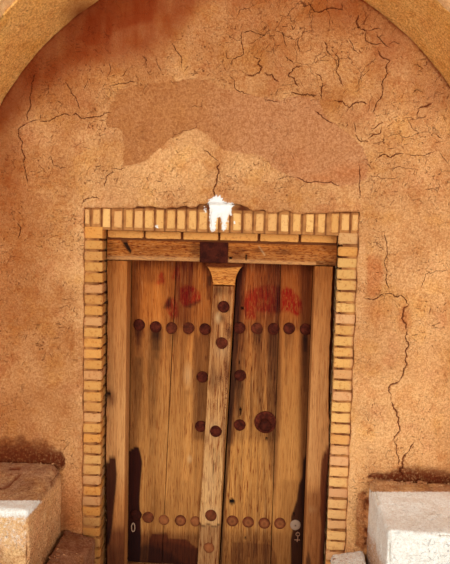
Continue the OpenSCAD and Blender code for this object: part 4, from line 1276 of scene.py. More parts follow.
low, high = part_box("head_beam")
# The strip along the lower arris of the head beam is painted lighter, as a painted highlight.
lit_arris_strip = [(104, 255.8), (130, 256), (190, 257.4), (250, 259.6), (316, 262.2), (316, 270), (104, 264)]
split = [(119.5, 236.5), (126, 238.5), (127.6, 244), (131.3, 251), (130.2, 253.4), (126, 248.5),
         (123.2, 243.5)]
head_stains = {
    "age": [(250, 0.0), (258, 0.25)], "hole": [(230.5, 258, 2, 1.4, 0.8), (246, 257, 1.2, 5, 0.6)],
    "shapes": [("hole", 0.95, 0.8, split), ("tone", 0.3, 1.0, lit_arris_strip), ("pale", 0.25, 1.0, lit_arris_strip),
               ("tone", 0.25, 3, [(100, 236), (120, 236), (124, 256), (100, 256)]),
               ("pale", 0.5, 0.5, [(258, 246), (259.4, 246), (265.6, 255), (264.4, 256)]),
               ("stain", 0.5, 1.0, [(316, 261), (340, 262), (340, 270), (316, 268)])],
    "dirt": [(196, 250, 8, 12, 0.6), (113, 247, 10, 9, 0.2)],
    "brown": [(238, 254, 10, 8, 0.6), (330, 245, 12, 6, 0.4), (258, 250, 6, 4, 0.4), (285, 252, 12, 4, 0.4)]}
put_timber("head_timber", low, high, head_timber, ("head_beam",), steps=(0.006, 0.02, 0.004),
           wear=[((0.5, 0.012, 0.012), 0.004), ((0.9, 0.05, 0.05), 0.003)], chip=0.006, seed=21,
           edge_r=0.007, tone=0.42, **head_stains)
low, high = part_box("sill")
sill_stains = [("brown", 0.9, 6, block(90, 340, 540, 640)),
               ("stain", 0.5, 8, [(90, 640), (90, 540), (210, 540), (200, 640)])]
put_timber("sill_timber", low, high, head_timber, ("sill",), steps=(0.03, 0.02, 0.008),
           wear=[((0.5, 0.02, 0.02), 0.004)], chip=0.01, seed=22, edge_r=0.01, tone=0.3, shapes=sill_stains)
post_age = [(262, 0.0), (330, 0.5), (400, 0.9), (470, 1.0), (500, 0.5)]
post_fade = [(262, 0.0), (430, 0.1), (470, 0.05), (500, -0.15)]
post_stains = {
    "left": {
        "shapes": [
            ("stain", 0.97, 0.9,
             [(102, 466), (107.5, 463), (109.5, 458), (112.5, 454.5), (115.6, 459), (116.9, 475),
              (115.8, 490), (113.8, 509), (112.3, 527), (109, 545), (102, 552)]),
            ("brown", 0.85, 8, [(100, 580), (100, 530), (135, 524), (135, 580)]),
            ("stain", 0.35, 8, [(100, 590), (100, 548), (135, 544), (135, 590)]),
            ("tone", 0.2, 3, block(117, 128, 395, 510))],
        "hole": [(108.5, 393.5, 2.6, 1.8, 1), (112, 401, 2.6, 1.4, 0.8), (114.5, 398, 1.4, 1.4, 0.6)],
        "brown": [(111, 398, 6, 10, 0.7), (124, 540, 8, 26, 0.5), (112, 264, 8, 8, 0.3)],
        "dirt": [(110, 380, 6, 60, 0.25)]},
    "right": {
        "shapes": [
            ("brown", 0.95, 0.9,
             [(335, 447), (327, 449), (322.5, 456), (320.8, 470), (320, 490), (320.6, 502), (319.4, 510),
              (321, 527), (318.8, 570), (335, 570)]),
            ("stain", 0.5, 1.2,
             [(335, 449), (328.5, 452), (327, 470), (325, 490), (323, 520), (321.5, 570), (335, 570)]),
            ("stain", 0.7, 0.8, [(305, 570), (306, 557), (308.5, 552), (310.5, 558), (311, 570)]),
            ("brown", 0.45, 6, [(305, 575), (305, 492), (335, 488), (335, 575)]),
            ("pale", 0.4, 0.6, [(309, 509), (320, 510.5), (320, 513), (309, 512)])],
        "hole": [(320.5, 359, 0.8, 0.8, 0.7)], "brown": [(315, 503, 6, 6, 0.5), (325, 272, 8, 10, 0.3)],
        "dirt": [(318, 290, 5, 30, 0.25)]}}
# How far each post stands off the bricks, as pairs of a height and the gap there, both in metres.
stand_off = {
    "left": [(0.09, 0.022), (0.45, 0.02), (0.6, 0.012), (1.0, 0.009), (1.7, 0.008), (1.9, 0.004),
             (1.962, 0.003)],
    "right": [(0.09, 0.010), (0.224, 0.009), (0.48, 0.005), (0.80, 0.003), (0.93, 0.003), (1.10, 0.010),
              (1.25, 0.017), (1.5, 0.020), (1.9, 0.022), (1.962, 0.018)]}
rebate_y = 0.150
for side, seed in (("left", 23), ("right", 24)):
    is_left = side == "left"
    low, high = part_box("post_" + side)

    def off_the_bricks(points, side=side, is_left=is_left, low=low, high=high):
        gap = np.interp(points[:, 2], *zip(*stand_off[side]))
        gap = gap + 0.003 * soft_noise(points * (0, 0, 1), 0.035, 61)
        share = ((high.x - points[:, 0]) if is_left else (points[:, 0] - low.x)) / (high.x - low.x)
        moved = points.copy()
        moved[:, 0] += share * gap * (1 if is_left else -1)
        return moved

    # The block behind each post fills the rebate seen through the gap to the bricks, and is painted black as
    # shade.
    wall_x, room_x = (low.x, low.x + 0.05) if is_left else (high.x - 0.05, high.x)
    back = ((wall_x, rebate_y, low.z + 0.004), (room_x, high.y - 0.004, high.z + 0.02))
    put_timber("frame_post_" + side, low, high, frame_timber, ("post_" + side,), seed=seed, edge_r=0.006,
               extra=[back], shape=off_the_bricks, tone=0.55, age=post_age, fade=post_fade,
               **post_stains[side])
low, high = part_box("rear_lintel_beams")
third = (high.y - low.y) / 3
blocks = []
for i in range(3):
    points, faces = worn_block((low.x, low.y + third * i, low.z),
                               (high.x, low.y + third * (i + 1) - 0.003, high.z), 0.01, (0.06, 0.02, 0.02),
                               [((0.5, 0.02, 0.02), 0.004)], 0.01, 60 + i)
    blocks.append((points, faces, stains_of(points, 0.4 + 0.1 * i)))
points, faces, marks = joined(blocks)
put_piece("rear_beams", points, faces, [head_timber], marks=marks,
          stands_for=("rear_lintel_beams",))

# Each leaf is two sawn boards beside a pivot stile. Rain has run down from the nails in dark streaks,
# the feet are darker, and smears of red paint cross the boards at eye height. Painted shade lies under
# the head beam, beside the posts, the batten and the capital, and along the foot of the left leaf.
leaf_low, leaf_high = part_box("left_outer_board")
outer_left, outer_right = -0.555, 0.515
meet_low, meet_high = 0.010, 0.070
sill_z, head_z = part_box("sill")[1].z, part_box("head_beam")[0].z


def lean(z, at_sill, at_head):
    """The x of a leaning edge at a height, from its x at the sill and at the head beam."""
    return at_sill + (at_head - at_sill) * (z - sill_z) / (head_z - sill_z)


worn_board = ((112, 62, 22), (204, 138, 70))
leaf_timber = wood_material("leaf_boards", ((98, 34, 6), (202, 112, 40)), worn_board, figure=0.75, grit=1.25)
leaf_dark = wood_material("leaf_board_dark", ((76, 22, 5), (188, 92, 30)), ((90, 44, 16), (204, 138, 68)),
                          figure=1.0, grit=1.8)
leaf_smooth = wood_material("leaf_board_smooth", ((98, 34, 6), (188, 98, 32)), worn_board, figure=0.3,
                            grit=0.9)
tongue_y = (0.222, 0.232)
leaf_age = [(262, 0.0), (315, 0.15), (335, 0.5), (380, 0.8), (440, 1.0)]
# The tone of the leaves by row: painted shade darkens the top under the head beam, and the lower boards are
# a little lighter.
leaf_tone_and_shade = [(262, -0.3), (272, -0.1), (300, 0.0), (400, 0.0), (440, 0.12), (480, 0.12), (510, 0.0)]


def board(name, left, right, body, material, stands_for, seed, tongue=True, **more):
    """A board whose two long edges are lines (x at the sill, x at the head)."""
    width = (right[0] + right[1] - left[0] - left[1]) / 2
    low, high = (0.0, leaf_low.y, leaf_low.z), (width, leaf_high.y, leaf_high.z)

    def shape(points):
        a, b = lean(points[:, 2], *left), lean(points[:, 2], *right)
        return np.stack([a + (b - a) * points[:, 0] / width, points[:, 1], points[:, 2]], 1)

    tongue_at = [((0.0, tongue_y[0], leaf_low.z + 0.004), (width + 0.014, tongue_y[1], leaf_high.z - 0.004))]
    put_timber(name, low, high, material, (stands_for,), body=body, slot="leaf_timber", shape=shape,
               steps=(0.0055, 0.02, 0.012), seed=seed, edge_r=0.002, extra=tongue_at if tongue else (),
               chip=0.001, wear=[((0.012, 0.012, 0.5), 0.0016), ((0.05, 0.05, 0.9), 0.0010)], fade=leaf_tone_and_shade,
               age=leaf_age, **more)


left_joint, right_joint = (-0.342, -0.288), (0.326, 0.328)
half_gap = 0.0006
leaf_gap = 0.006
left_shapes = runs(("dirt", 1.0, 155.7, 5.6, 331, 372), ("stain", 0.6, 156.5, 3.6, 331, 358),
                   ("dirt", 0.55, 153, 4, 350, 455), ("brown", 0.9, 138.6, 4.2, 329, 366),
                   ("stain", 0.4, 138, 3, 330, 345), ("dirt", 0.5, 173, 4.5, 333, 352),
                   ("brown", 0.7, 205, 4.6, 333, 356), ("brown", 0.4, 189, 3, 333, 346),
                   ("dirt", 0.5, 139, 4, 360, 440), ("dirt", 0.4, 202, 4, 382, 440))
left_shapes += [
    ("stain", 1.0, 0.8,
     [(126, 452), (132, 449), (136, 446), (139, 448), (141.3, 457), (142.4, 463), (140.8, 480), (139.4, 502),
      (140.6, 521), (141, 540), (139.5, 580), (126, 580)]),
    ("brown", 1.0, 1.2,
     [(145, 580), (147.8, 552), (148.6, 539), (152, 533), (167, 533), (168.5, 538.6), (180, 538), (188, 540),
      (193, 545), (201, 549), (203, 580)]),
    ("stain", 0.4, 2.0,
     [(145, 580), (147.8, 552), (149, 542), (170, 542), (193, 548), (203, 552), (203, 580)]),
    ("stain", 0.75, 5, [(136, 590), (136, 545), (150, 543), (172, 552), (188, 566), (188, 590)]),
    ("brown", 0.8, 4, block(136, 150, 533, 590)),
    # The next band is painted shade along the foot of the board.
    ("brown", 0.6, 5, [(126, 580), (126, 531), (207, 534), (207, 580)]),
    # The first strip on the next line is the painted shadow of the post on the edge of the board.
    ("brown", 0.4, 2.5, block(126, 138, 262, 450)), ("tone", 0.25, 4, block(143, 162, 283, 326)),
    ("tone", 0.2, 3, [(161, 350), (171, 350), (169, 500), (159, 500)]),
    ("tone", -0.25, 4, [(170, 262), (194, 262), (192, 328), (168, 328)]),
    ("tone", 0.4, 2, [(187, 335), (193, 335), (190, 390), (184, 390)]),
    ("tone", 0.25, 2, [(186, 395), (193, 395), (189, 480), (182, 480)]),
    ("brown", 0.45, 3, [(195, 336), (210, 336), (205, 440), (192, 440)]),
    # The next two marks are painted shade beside the capital.
    ("brown", 0.6, 1.5, [(206, 266), (213, 266), (211, 300), (207, 300)]),
    ("stain", 0.6, 1.2, [(207, 277), (211, 275), (211, 286), (208, 287)]),
    ("red", 0.8, 1.6, [(155, 285), (160, 272), (163, 272), (165, 283)]),
    ("red", 0.8, 1.6, [(171, 279), (176, 266), (180, 266), (180, 280)]),
    ("red", 1.0, 2.0,
     [(180, 288), (186, 285), (193, 286), (200, 293), (201, 300), (196, 304), (184, 307), (179, 300)]),
    ("red", 0.9, 2.0, [(166, 300), (174, 298), (178, 304), (178, 318), (171, 318), (166, 308)]),
    ("stain", 0.75, 1.2, [(163, 308), (168, 298), (171, 297), (171, 308)]),
    ("brown", 0.7, 1.5, [(185, 306), (190, 304), (201, 299), (201, 302), (190, 308)])]
right_shapes = runs(("brown", 0.7, 240, 5.5, 333, 372), ("dirt", 0.8, 257, 5, 334, 352),
                    ("dirt", 0.7, 273.5, 5.5, 334, 430), ("dirt", 0.5, 289, 4.5, 334, 356),
                    ("dirt", 0.6, 286.5, 1.6, 334, 385), ("stain", 0.8, 305.6, 2.0, 334, 352),
                    ("dirt", 0.9, 305.4, 2.6, 340, 392), ("dirt", 0.6, 240, 4, 381, 420),
                    ("dirt", 0.5, 273.5, 4, 430, 480))
right_shapes += [
    ("stain", 0.95, 0.9,
     [(312, 450), (306.5, 454), (303, 461), (302.3, 477), (298.8, 485), (296.9, 500), (293.8, 509),
      (291, 517), (291, 522), (292.5, 530), (290.6, 540), (291, 580), (312, 580)]),
    ("brown", 0.65, 1.2,
     [(231, 580), (232, 541.4), (246.4, 541.4), (260.7, 543), (270.7, 544.3), (275.7, 553), (281, 580)]),
    ("brown", 0.3, 6, block(215, 310, 534, 580)),
    # The next mark is the painted shadow of the batten and the capital on the board.
    ("brown", 0.7, 3, [(226, 262), (245, 262), (243, 330), (241, 390), (234, 445), (224, 445)]),
    ("brown", 0.35, 2, [(256, 262), (266, 262), (265, 370), (261, 440), (257, 370)]),
    ("brown", 0.5, 2,
     [(266, 262), (280.5, 262), (280.5, 400), (278, 455), (275, 505), (271, 470), (267, 440)]),
    # The next mark is the painted shadow of the post.
    ("brown", 0.7, 3, [(300, 262), (312, 262), (312, 580), (301, 580)]),
    ("tone", 0.25, 5, block(225, 282, 440, 530)),
    ("tone", 0.2, 2, [(282, 330), (300, 330), (299, 480), (282, 480)]),
    # The next mark is painted shade along the batten's right side and under the capital.
    ("stain", 0.72, 0.9,
     [(230, 266), (243, 266), (240, 284), (239, 340), (236, 362), (236.5, 380), (234, 402), (232, 420),
      (231, 440), (228, 480), (224.5, 510), (221.5, 580), (205, 580), (215, 440), (226, 340)]),
    ("red", 0.9, 2.5,
     [(243, 304), (246, 292), (257, 287), (270, 285), (281, 288), (281, 312), (268, 313), (254, 311),
      (245, 314)]),
    ("red", 0.9, 2.0, [(245, 312), (256, 311), (256, 319), (246, 319)]),
    ("red", 1.0, 1.5,
     [(281, 289), (286, 287), (292, 289), (299, 297), (303, 303), (302, 313), (297, 316), (290, 312),
      (281, 311)]),
    ("stain", 0.4, 2.5, [(276, 286), (281, 286), (281, 312), (275, 312)])]
board("leaf_board_1", (outer_left, outer_left), (left_joint[0] - half_gap, left_joint[1] - half_gap),
      "left_leaf", leaf_timber, "left_outer_board", 31, shapes=left_shapes)
inner_left = {"brown": [(206, 358, 3, 2.6, 0.9)],
              "pale": [(189.5, 459, 3, 4.5, 0.5), (188, 375, 5, 14, 0.35)],
              "hole": [(189.2, 459.4, 1, 1, 0.8)]}
board("leaf_board_2", (left_joint[0] + half_gap, left_joint[1] + half_gap), (meet_low, meet_high),
      "left_leaf", leaf_timber, "left_inner_board", 32, tongue=False, shapes=left_shapes, **inner_left)
inner_right_holes = [(240.4, 409.4, 1.8, 1.8, 1.0), (240.4, 412.6, 1.1, 2.2, 0.9), (232, 502, 3.4, 3.6, 1.0),
                     (266.3, 438.4, 1.2, 1.2, 0.9), (242.4, 308, 1.5, 1.5, 1), (239.3, 361.5, 1.3, 1.3, 1),
                     (245.2, 538, 1.0, 1.0, 0.7)]
board("leaf_board_3", (meet_low + leaf_gap, meet_high + leaf_gap),
      (right_joint[0] - half_gap, right_joint[1] - half_gap), "right_leaf", leaf_dark, "right_inner_board",
      33, hole=inner_right_holes, shapes=right_shapes)
outer_right_holes = [(293.8, 514, 1, 1.4, 0.6)]
board("leaf_board_4", (right_joint[0] + half_gap, right_joint[1] + half_gap), (outer_right, outer_right),
      "right_leaf", leaf_smooth, "right_outer_board", 34, hole=outer_right_holes, shapes=right_shapes)
pin_r = 0.0195
pin_middle = {"left": (-0.61, 0.2325), "right": (0.57, 0.2325)}
for side, body in (("left", "left_leaf"), ("right", "right_leaf")):
    low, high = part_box(side + "_pivot_stile")

    def round_ends(points, side=side):
        """Turns the square ends of a stile into its round pins."""
        middle = pin_middle[side]
        end = (points[:, 2] < leaf_low.z) | (points[:, 2] > leaf_high.z)
        off = points[:, :2] - middle
        far = np.maximum(np.linalg.norm(off, axis=1), 1e-6)[:, None]
        moved = points.copy()
        moved[end, :2] = (middle + off / far * np.minimum(far, pin_r))[end]
        return moved

    inner_edge = leaf_low.x if side == "left" else outer_right
    link = ((inner_edge - 0.03, tongue_y[0], leaf_low.z + 0.004),
            (inner_edge + 0.03, tongue_y[1], leaf_high.z - 0.004))
    put_timber(side + "_stile", low, high, leaf_timber, (side + "_pivot_stile",), body=body,
               slot="leaf_timber", extra=[link], steps=(0.012, 0.012, 0.03), seed=41, edge_r=0.010,
               shape=round_ends, tone=0.4)

# On the back of each leaf a strip runs down behind the meeting edge, and four ledges are halved into it.
# A thin lip on the left strip reaches over the gap and stops a millimetre short of the other strip.
strip_w, ledge_h, back_y = 0.070, 0.090, leaf_high.y
ledge_levels = (0.385, 0.9655, 1.2705, 1.572)


def shaded_back_marks(points, rear, tone):
    """The sides in the depth of the joints are painted black as shade."""
    marks = stains_of(points, tone)
    marks["stain"] = 0.95 * (points[:, 1] < rear - 0.004)
    return marks


lip_w, lip_thick, lip_start = 0.025, 0.008, -0.020
for side, body in (("left", "left_leaf"), ("right", "right_leaf")):
    is_left = side == "left"
    low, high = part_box(side + "_back_ledges")
    gap = 0.0 if is_left else leaf_gap
    parts = []
    strip_low, strip_high = (0.0, back_y, leaf_low.z), (strip_w, high.y, leaf_high.z)
    points, faces = worn_block(strip_low, strip_high, 0.004, (0.02, 0.02, 0.04),
                               [((0.03, 0.03, 0.4), 0.002)], 0.003, 45)
    points[:, 0] += lean(points[:, 2], meet_low, meet_high) + (gap - (strip_w if is_left else 0.0))
    parts.append((points, faces, shaded_back_marks(points, high.y, 0.3)))
    if is_left:
        points, faces = worn_block((0, high.y - lip_thick, leaf_low.z), (lip_w, high.y, leaf_high.z), 0.001,
                                   (0.02, 0.02, 0.04))
        points[:, 0] += lean(points[:, 2], meet_low, meet_high) + lip_start
        parts.append((points, faces, shaded_back_marks(points, high.y, 0.2)))
    for i, z in enumerate(ledge_levels):
        meet = lean(z, meet_low, meet_high) + gap
        ends = (low.x, meet - strip_w / 2) if is_left else (meet + strip_w / 2, high.x)
        ledge_low = (ends[0], back_y, z - ledge_h / 2)
        ledge_high = (ends[1], high.y + 0.0005, z + ledge_h / 2)
        points, faces = worn_block(ledge_low, ledge_high, 0.006, (0.04, 0.02, 0.012),
                                   [((0.4, 0.03, 0.03), 0.003)], 0.006, 46 + i)
        parts.append((points, faces, shaded_back_marks(points, high.y, 0.35 + 0.1 * (i % 2))))
    points, faces, marks = joined(parts)
    put_piece(side + "_ledge_frame", points, faces, [head_timber], body=body,
              marks=marks, stands_for=(side + "_back_ledges",))

# The batten is nailed to the left leaf beside the gap and leans with it, and beetles have riddled it. The
# carved capital hangs under the middle of the head beam, over the head of the batten.
low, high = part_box("batten")
batten_w, batten_set = 0.127, 0.005
batten_timber = wood_material("batten_timber", ((108, 54, 18), (204, 132, 70)),
                              ((154, 92, 44), (236, 182, 114)), figure=0.9, grit=2.1, beetles=0.95)


def batten_shape(points):
    right = lean(points[:, 2], meet_low, meet_high) - batten_set
    share = points[:, 0] / batten_w
    knot = 0.005 * np.exp(-((points[:, 2] - 0.44) / 0.06) ** 2) * (share * 2 - 1)
    ragged = 0.0035 * np.minimum(soft_noise(points * (0, 0, 1), 0.03, 78), 0) * smooth_step(share, 0.5, 1)
    across = right - batten_w + points[:, 0] + ragged + np.minimum(knot, 0.003)
    return np.stack([across, points[:, 1], points[:, 2]], 1)


batten_stains = {
    "age": [(285, 0.05), (350, 0.3), (400, 0.7), (440, 1.0)],
    "fade": [(285, -0.1), (350, 0.0), (420, 0.05), (500, 0.1), (535, -0.1)],
    "beetle": [(230, 331, 7, 14, 1), (231, 350, 4, 20, 0.9), (221, 378, 5, 10, 0.9), (226, 400, 3, 60, 1),
               (214, 405, 6, 14, 0.4)],
    "brown": [(229, 332, 5, 8, 0.8), (227, 372, 3.5, 26, 0.7), (220, 378, 4, 8, 0.5), (224, 440, 3, 40, 0.5),
              (213, 372, 3, 14, 0.4)],
    "dirt": [(221, 290, 9, 6, 0.6), (222, 318, 4, 5, 0.7), (213, 380, 5, 14, 0.4)],
    "pale": [(218, 318, 3.4, 6, 0.7), (213, 430, 8, 14, 0.3), (211, 515, 9, 11, 0.5), (222, 350, 9, 10, 0.3),
             (210, 480, 8, 30, 0.3)],
    "shapes": [
        ("hole", 0.75, 0.5, [(213.6, 448), (214.1, 448), (213.4, 483), (212.9, 483)]),
        ("brown", 0.45, 1.0,
         [(190, 523), (199, 521), (203, 525.5), (208, 524), (214, 527), (219, 524), (225, 525), (225, 580),
          (190, 580)]),
        ("stain", 0.7, 0.5,
         [(196, 521.5), (203, 525), (209, 523.5), (214, 526.5), (219, 523.5), (220, 525), (214, 528),
          (209, 525), (203, 526.8), (196, 523)]),
        ("brown", 0.35, 4, block(190, 225, 545, 580)),
        ("tone", 0.35, 0.8, [(231.5, 284), (234.5, 284), (233, 326), (230.5, 326)])]}
put_timber("meeting_batten", (0, low.y, low.z), (batten_w, high.y, high.z), batten_timber, ("batten",),
           body="left_leaf", shape=batten_shape, steps=(0.005, 0.01, 0.012), chip=0.008, seed=51,
           edge_r=0.007, tone=0.5, **batten_stains)
low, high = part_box("capital")
capital_wood = ((150, 74, 22), (240, 158, 72))
capital_timber = wood_material("capital_timber", capital_wood, capital_wood, "x", grit=1.6)
# Its outline from the top down, as pairs of a share of the height and a share of the half width.
capital_outline = [(0, 0.94), (0.09, 1.0), (0.13, 1.0), (0.17, 0.96), (0.25, 0.86), (0.4, 0.75), (0.6, 0.66),
                   (0.8, 0.61), (0.86, 0.60), (0.875, 0.60), (0.885, 0.57), (0.93, 0.57), (0.94, 0.60),
                   (0.95, 0.60), (1.0, 0.60)]
# The capital's marks are painted shade: a dark strip under the head beam and a line in the groove under its
# lip.
capital_shade = [("brown", 0.95, 0.8, [(200, 260), (250, 260), (248, 267), (226, 268), (202, 266.6)]),
                  ("brown", 0.6, 0.5, [(205, 286.4), (242, 286.8), (242, 288), (205, 287.6)])]


def capital_shape(points):
    drop = (high.z - points[:, 2]) / (high.z - low.z)
    return np.stack([points[:, 0] * np.interp(drop, *zip(*capital_outline)), points[:, 1], points[:, 2]], 1)


put_timber("carved_capital", low, high, capital_timber, ("capital",), shape=capital_shape,
           steps=(0.008, 0.01, 0.0035), wear=[((0.2, 0.02, 0.02), 0.002)], chip=0.003, seed=52, edge_r=0.003,
           tone=0.62, shapes=capital_shade)

# Everything of iron was forged by hand and has rusted to a dark red brown: the domed nails, the plate on
# the head beam, the round knocker plate with its knob and what is left of two chains.


def iron_material():
    s = Shader("rusted_iron", roughness=0.82, specular=0.06)
    blotch = s.noise(30, 5, 0.7)
    colour = s.mix(s.ramp(blotch, 0.35, 0.7), (62, 22, 13), (112, 46, 28))
    colour = s.mix(s.ramp(s.noise(110, 4, 0.7), 0.58, 0.75, 0.0, 0.5), colour, (150, 74, 38))
    colour = s.mix(s.mark("pale"), colour, s.mix(blotch, (150, 80, 36), (192, 124, 72)))
    colour = s.mix(s.mark("grey"), colour, (168, 138, 112))
    colour = s.mix(s.mark("dark"), colour, (34, 13, 8))
    return s.finish(colour, s.plus(blotch, s.times(s.noise(220, 3, 0.7), 0.5)), 0.7, 0.002)


rusted_iron = iron_material()


def iron_marks(points, pale=0.0, grey=0.0, dark=0.0):
    shades = {"pale": pale, "grey": grey, "dark": dark}
    return {mark: np.zeros(len(points)) + value for mark, value in shades.items()}


def put_iron(name, points, faces, marks, stands_for, body="portal"):
    put_piece(name, points, faces, [rusted_iron], body=body, marks=marks,
              stands_for=(stands_for,))


def turned(profile, place, sides, out_of_round, seed):
    """Revolves (radius, height) pairs round the y axis at a place; heights run toward the street."""
    play = np.random.default_rng(seed)
    turn = np.arange(sides) * 2 * math.pi / sides
    waves = np.sin(turn * 3 + play.uniform(0, 6)) + np.sin(turn * 2 + play.uniform(0, 6))
    points, faces = [], []
    for radius, rise in profile:
        for angle, reach in zip(turn, radius * (1 + out_of_round * waves)):
            across, up = reach * math.cos(angle), reach * math.sin(angle)
            points.append((place[0] + across, place[1] - rise, place[2] + up))
    for i in range(len(profile) - 1):
        for k in range(sides):
            a, b = i * sides + k, i * sides + (k + 1) % sides
            faces.append((a, a + sides, b + sides, b))
    last = (len(profile) - 1) * sides
    return np.array(points), faces + [tuple(range(sides)), tuple(range(last, last + sides))[::-1]]


nail_r = 0.0350
dome = [(nail_r, 0), (nail_r, 0.003), (0.0336, 0.006), (0.0300, 0.0095), (0.0235, 0.0132), (0.0150, 0.0158),
        (0.0065, 0.0168), (0.0006, 0.017)]


def stud(place, seed, kind):
    """A domed nail: sound, worn to a pale ring, a grey washer or black with dirt."""
    flat, small = kind in ("ring", "pale", "washer"), kind in ("pale", "washer")
    profile = [(radius * (0.92 if small else 1), rise * (0.55 if flat else 1)) for radius, rise in dome]
    points, faces = turned(profile, place, 24, 0.03 if kind == "worn" else 0.012, seed)
    radius = np.hypot(points[:, 0] - place[0], points[:, 2] - place[2]) / nail_r
    inner = 1 - smooth_step(radius, 0.55, 0.78)
    shades = {"sound": (0, 0, 0.25), "worn": (0.05, 0, 0), "black": (0, 0, 0.8),
              "red": (0.14 + 0.06 * inner, 0, 0),
              "ring": (0.12 + 0.4 * inner, 0, 0.35 * (1 - smooth_step(radius, 0.1, 0.35))),
              "pale": (0.35 + 0.25 * inner, 0, 0), "washer": (0, 0.85, 1 - smooth_step(radius, 0.08, 0.2))}
    return points, faces, iron_marks(points, *shades[kind])


# Each nail is placed by the pixel of its middle.
face_y, batten_y = leaf_low.y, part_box("batten")[0].y
left_studs = [(139.2, 324.8, "sound"), (155.7, 326.9, "sound"), (171.5, 328, "worn"), (188.6, 328.2, "worn"),
              (205.1, 329.1, "sound"), (202.3, 376.9, "sound"), (200.8, 426.3, "sound"), (136, 515, "black"),
              (148.2, 517.3, "red"), (163.9, 520, "pale"), (180.5, 520.6, "ring"), (195.4, 521.4, "pale")]
right_studs = [(239.6, 327.8, "sound"), (256.9, 328.5, "worn"), (273.6, 328.9, "sound"),
               (289.1, 328.4, "sound"), (305.7, 329.3, "sound"), (240.2, 375.4, "sound"),
               (239.7, 425, "sound"), (232.4, 520.9, "ring"), (248.2, 522.1, "ring"), (264.3, 523.2, "ring"),
               (279.9, 523.4, "ring"), (295.4, 525, "washer")]
batten_studs = [(223.6, 306.8, "sound"), (221.8, 343, "worn"), (215.8, 431.3, "sound"),
                (210.9, 515.4, "red"), (208.9, 547.8, "pale")]
studs = {"left": [(face_y, left_studs), (batten_y, batten_studs)], "right": [(face_y, right_studs)]}
for side, groups in studs.items():
    found = [(*at_pixel(px, py, y), y, kind) for y, places in groups for px, py, kind in places]
    blocks = [stud((x, y + 0.001, z), 400 + i, kind) for i, (x, z, y, kind) in enumerate(found)]
    put_iron(side + "_nails", *joined(blocks), side + "_studs", side + "_leaf")
low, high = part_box("lintel_plate")
points, faces = worn_block(low, high, 0.002, (0.01, 0.01, 0.01), [(0.03, 0.001)], 0.003, 81)
put_iron("beam_plate", points, faces, iron_marks(points, dark=0.55), "lintel_plate")
disc = [(0.066, 0), (0.066, 0.006), (0.064, 0.0085), (0.055, 0.0095), (0.03, 0.010), (0.001, 0.010)]
knob = [(0.012, -0.001), (0.015, 0.004), (0.028, 0.007), (0.035, 0.014), (0.036, 0.021), (0.033, 0.028),
        (0.024, 0.033), (0.012, 0.0355), (0.001, 0.036)]
for node, name, profile, sides, dark in (("knocker_plate", "knocker_disc", disc, 44, 0.1),
                                         ("knocker_knob", "knocker_ball", knob, 32, 0.55)):
    low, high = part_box(node)
    points, faces = turned(profile, ((low.x + high.x) / 2, high.y, (low.z + high.z) / 2), sides, 0.01, 5)
    put_iron(name, points, faces, iron_marks(points, dark=dark), node, "right_leaf")


def rod(line, radius, closed=False):
    """A round bar bent along a line of points."""
    line = np.array(line, float)
    n, sides = len(line), 10
    points, faces = [], []
    for i in range(n):
        ahead = line[(i + 1) % n] if closed or i < n - 1 else line[i]
        behind = line[i - 1] if closed or i else line[i]
        way = Vector(ahead - behind).normalized()
        u = way.cross(Vector((0, 1, 0.01))).normalized()
        v = way.cross(u)
        for k in range(sides):
            a = 2 * math.pi * k / sides
            points.append(tuple(Vector(line[i]) + (u * math.cos(a) + v * math.sin(a)) * radius))
    for i in range(n if closed else n - 1):
        for k in range(sides):
            a, b = i * sides + k, i * sides + (k + 1) % sides
            c, d = (i + 1) % n * sides + k, (i + 1) % n * sides + (k + 1) % sides
            faces.append((a, b, d, c))
    if not closed:
        faces += [tuple(range(sides))[::-1], tuple(range((n - 1) * sides, n * sides))]
    return np.array(points), faces


def ring(cx, cy, cz, rx, rz, facing=True):
    """The middle line of a chain link, flat against the board or standing out from it."""
    turn = [2 * math.pi * k / 24 for k in range(24)]
    if facing:
        return [(cx + rx * math.cos(a), cy, cz + rz * math.sin(a)) for a in turn]
    return [(cx, cy + rx * math.cos(a), cz + rz * math.sin(a)) for a in turn]


chain_y = 0.1895
link_x, chain_x = -0.52, 0.482
left_chain = [rod(ring(link_x, chain_y, 0.3254, 0.0105, 0.0265), 0.0035, True),
              rod([(link_x, 0.206, 0.347), (link_x, 0.195, 0.349), (link_x, 0.187, 0.347)], 0.0025)]
right_chain = [rod(ring(chain_x, chain_y, 0.3413, 0.011, 0.0112), 0.0025, True),
               rod(ring(chain_x, chain_y, 0.3246, 0.011, 0.0112, False), 0.0025, True),
               rod([(chain_x, 0.206, 0.347), (chain_x, 0.195, 0.349), (chain_x, 0.188, 0.347)], 0.0025),
               rod([(chain_x, chain_y, 0.314), (0.480, chain_y, 0.304), (0.479, chain_y, 0.294)], 0.0032),
               rod([(0.463, chain_y, 0.306), (0.479, chain_y, 0.305), (0.495, chain_y, 0.307)], 0.003)]
for name, links, body, node, grey in (("left_chain_link", left_chain, "left_leaf", "left_link", 0.85),
                                      ("right_chain_piece", right_chain, "right_leaf", "right_chain", 0.4)):
    put_iron(name, *joined([(p, f, iron_marks(p, 0.4, grey)) for p, f in links]), node, body)

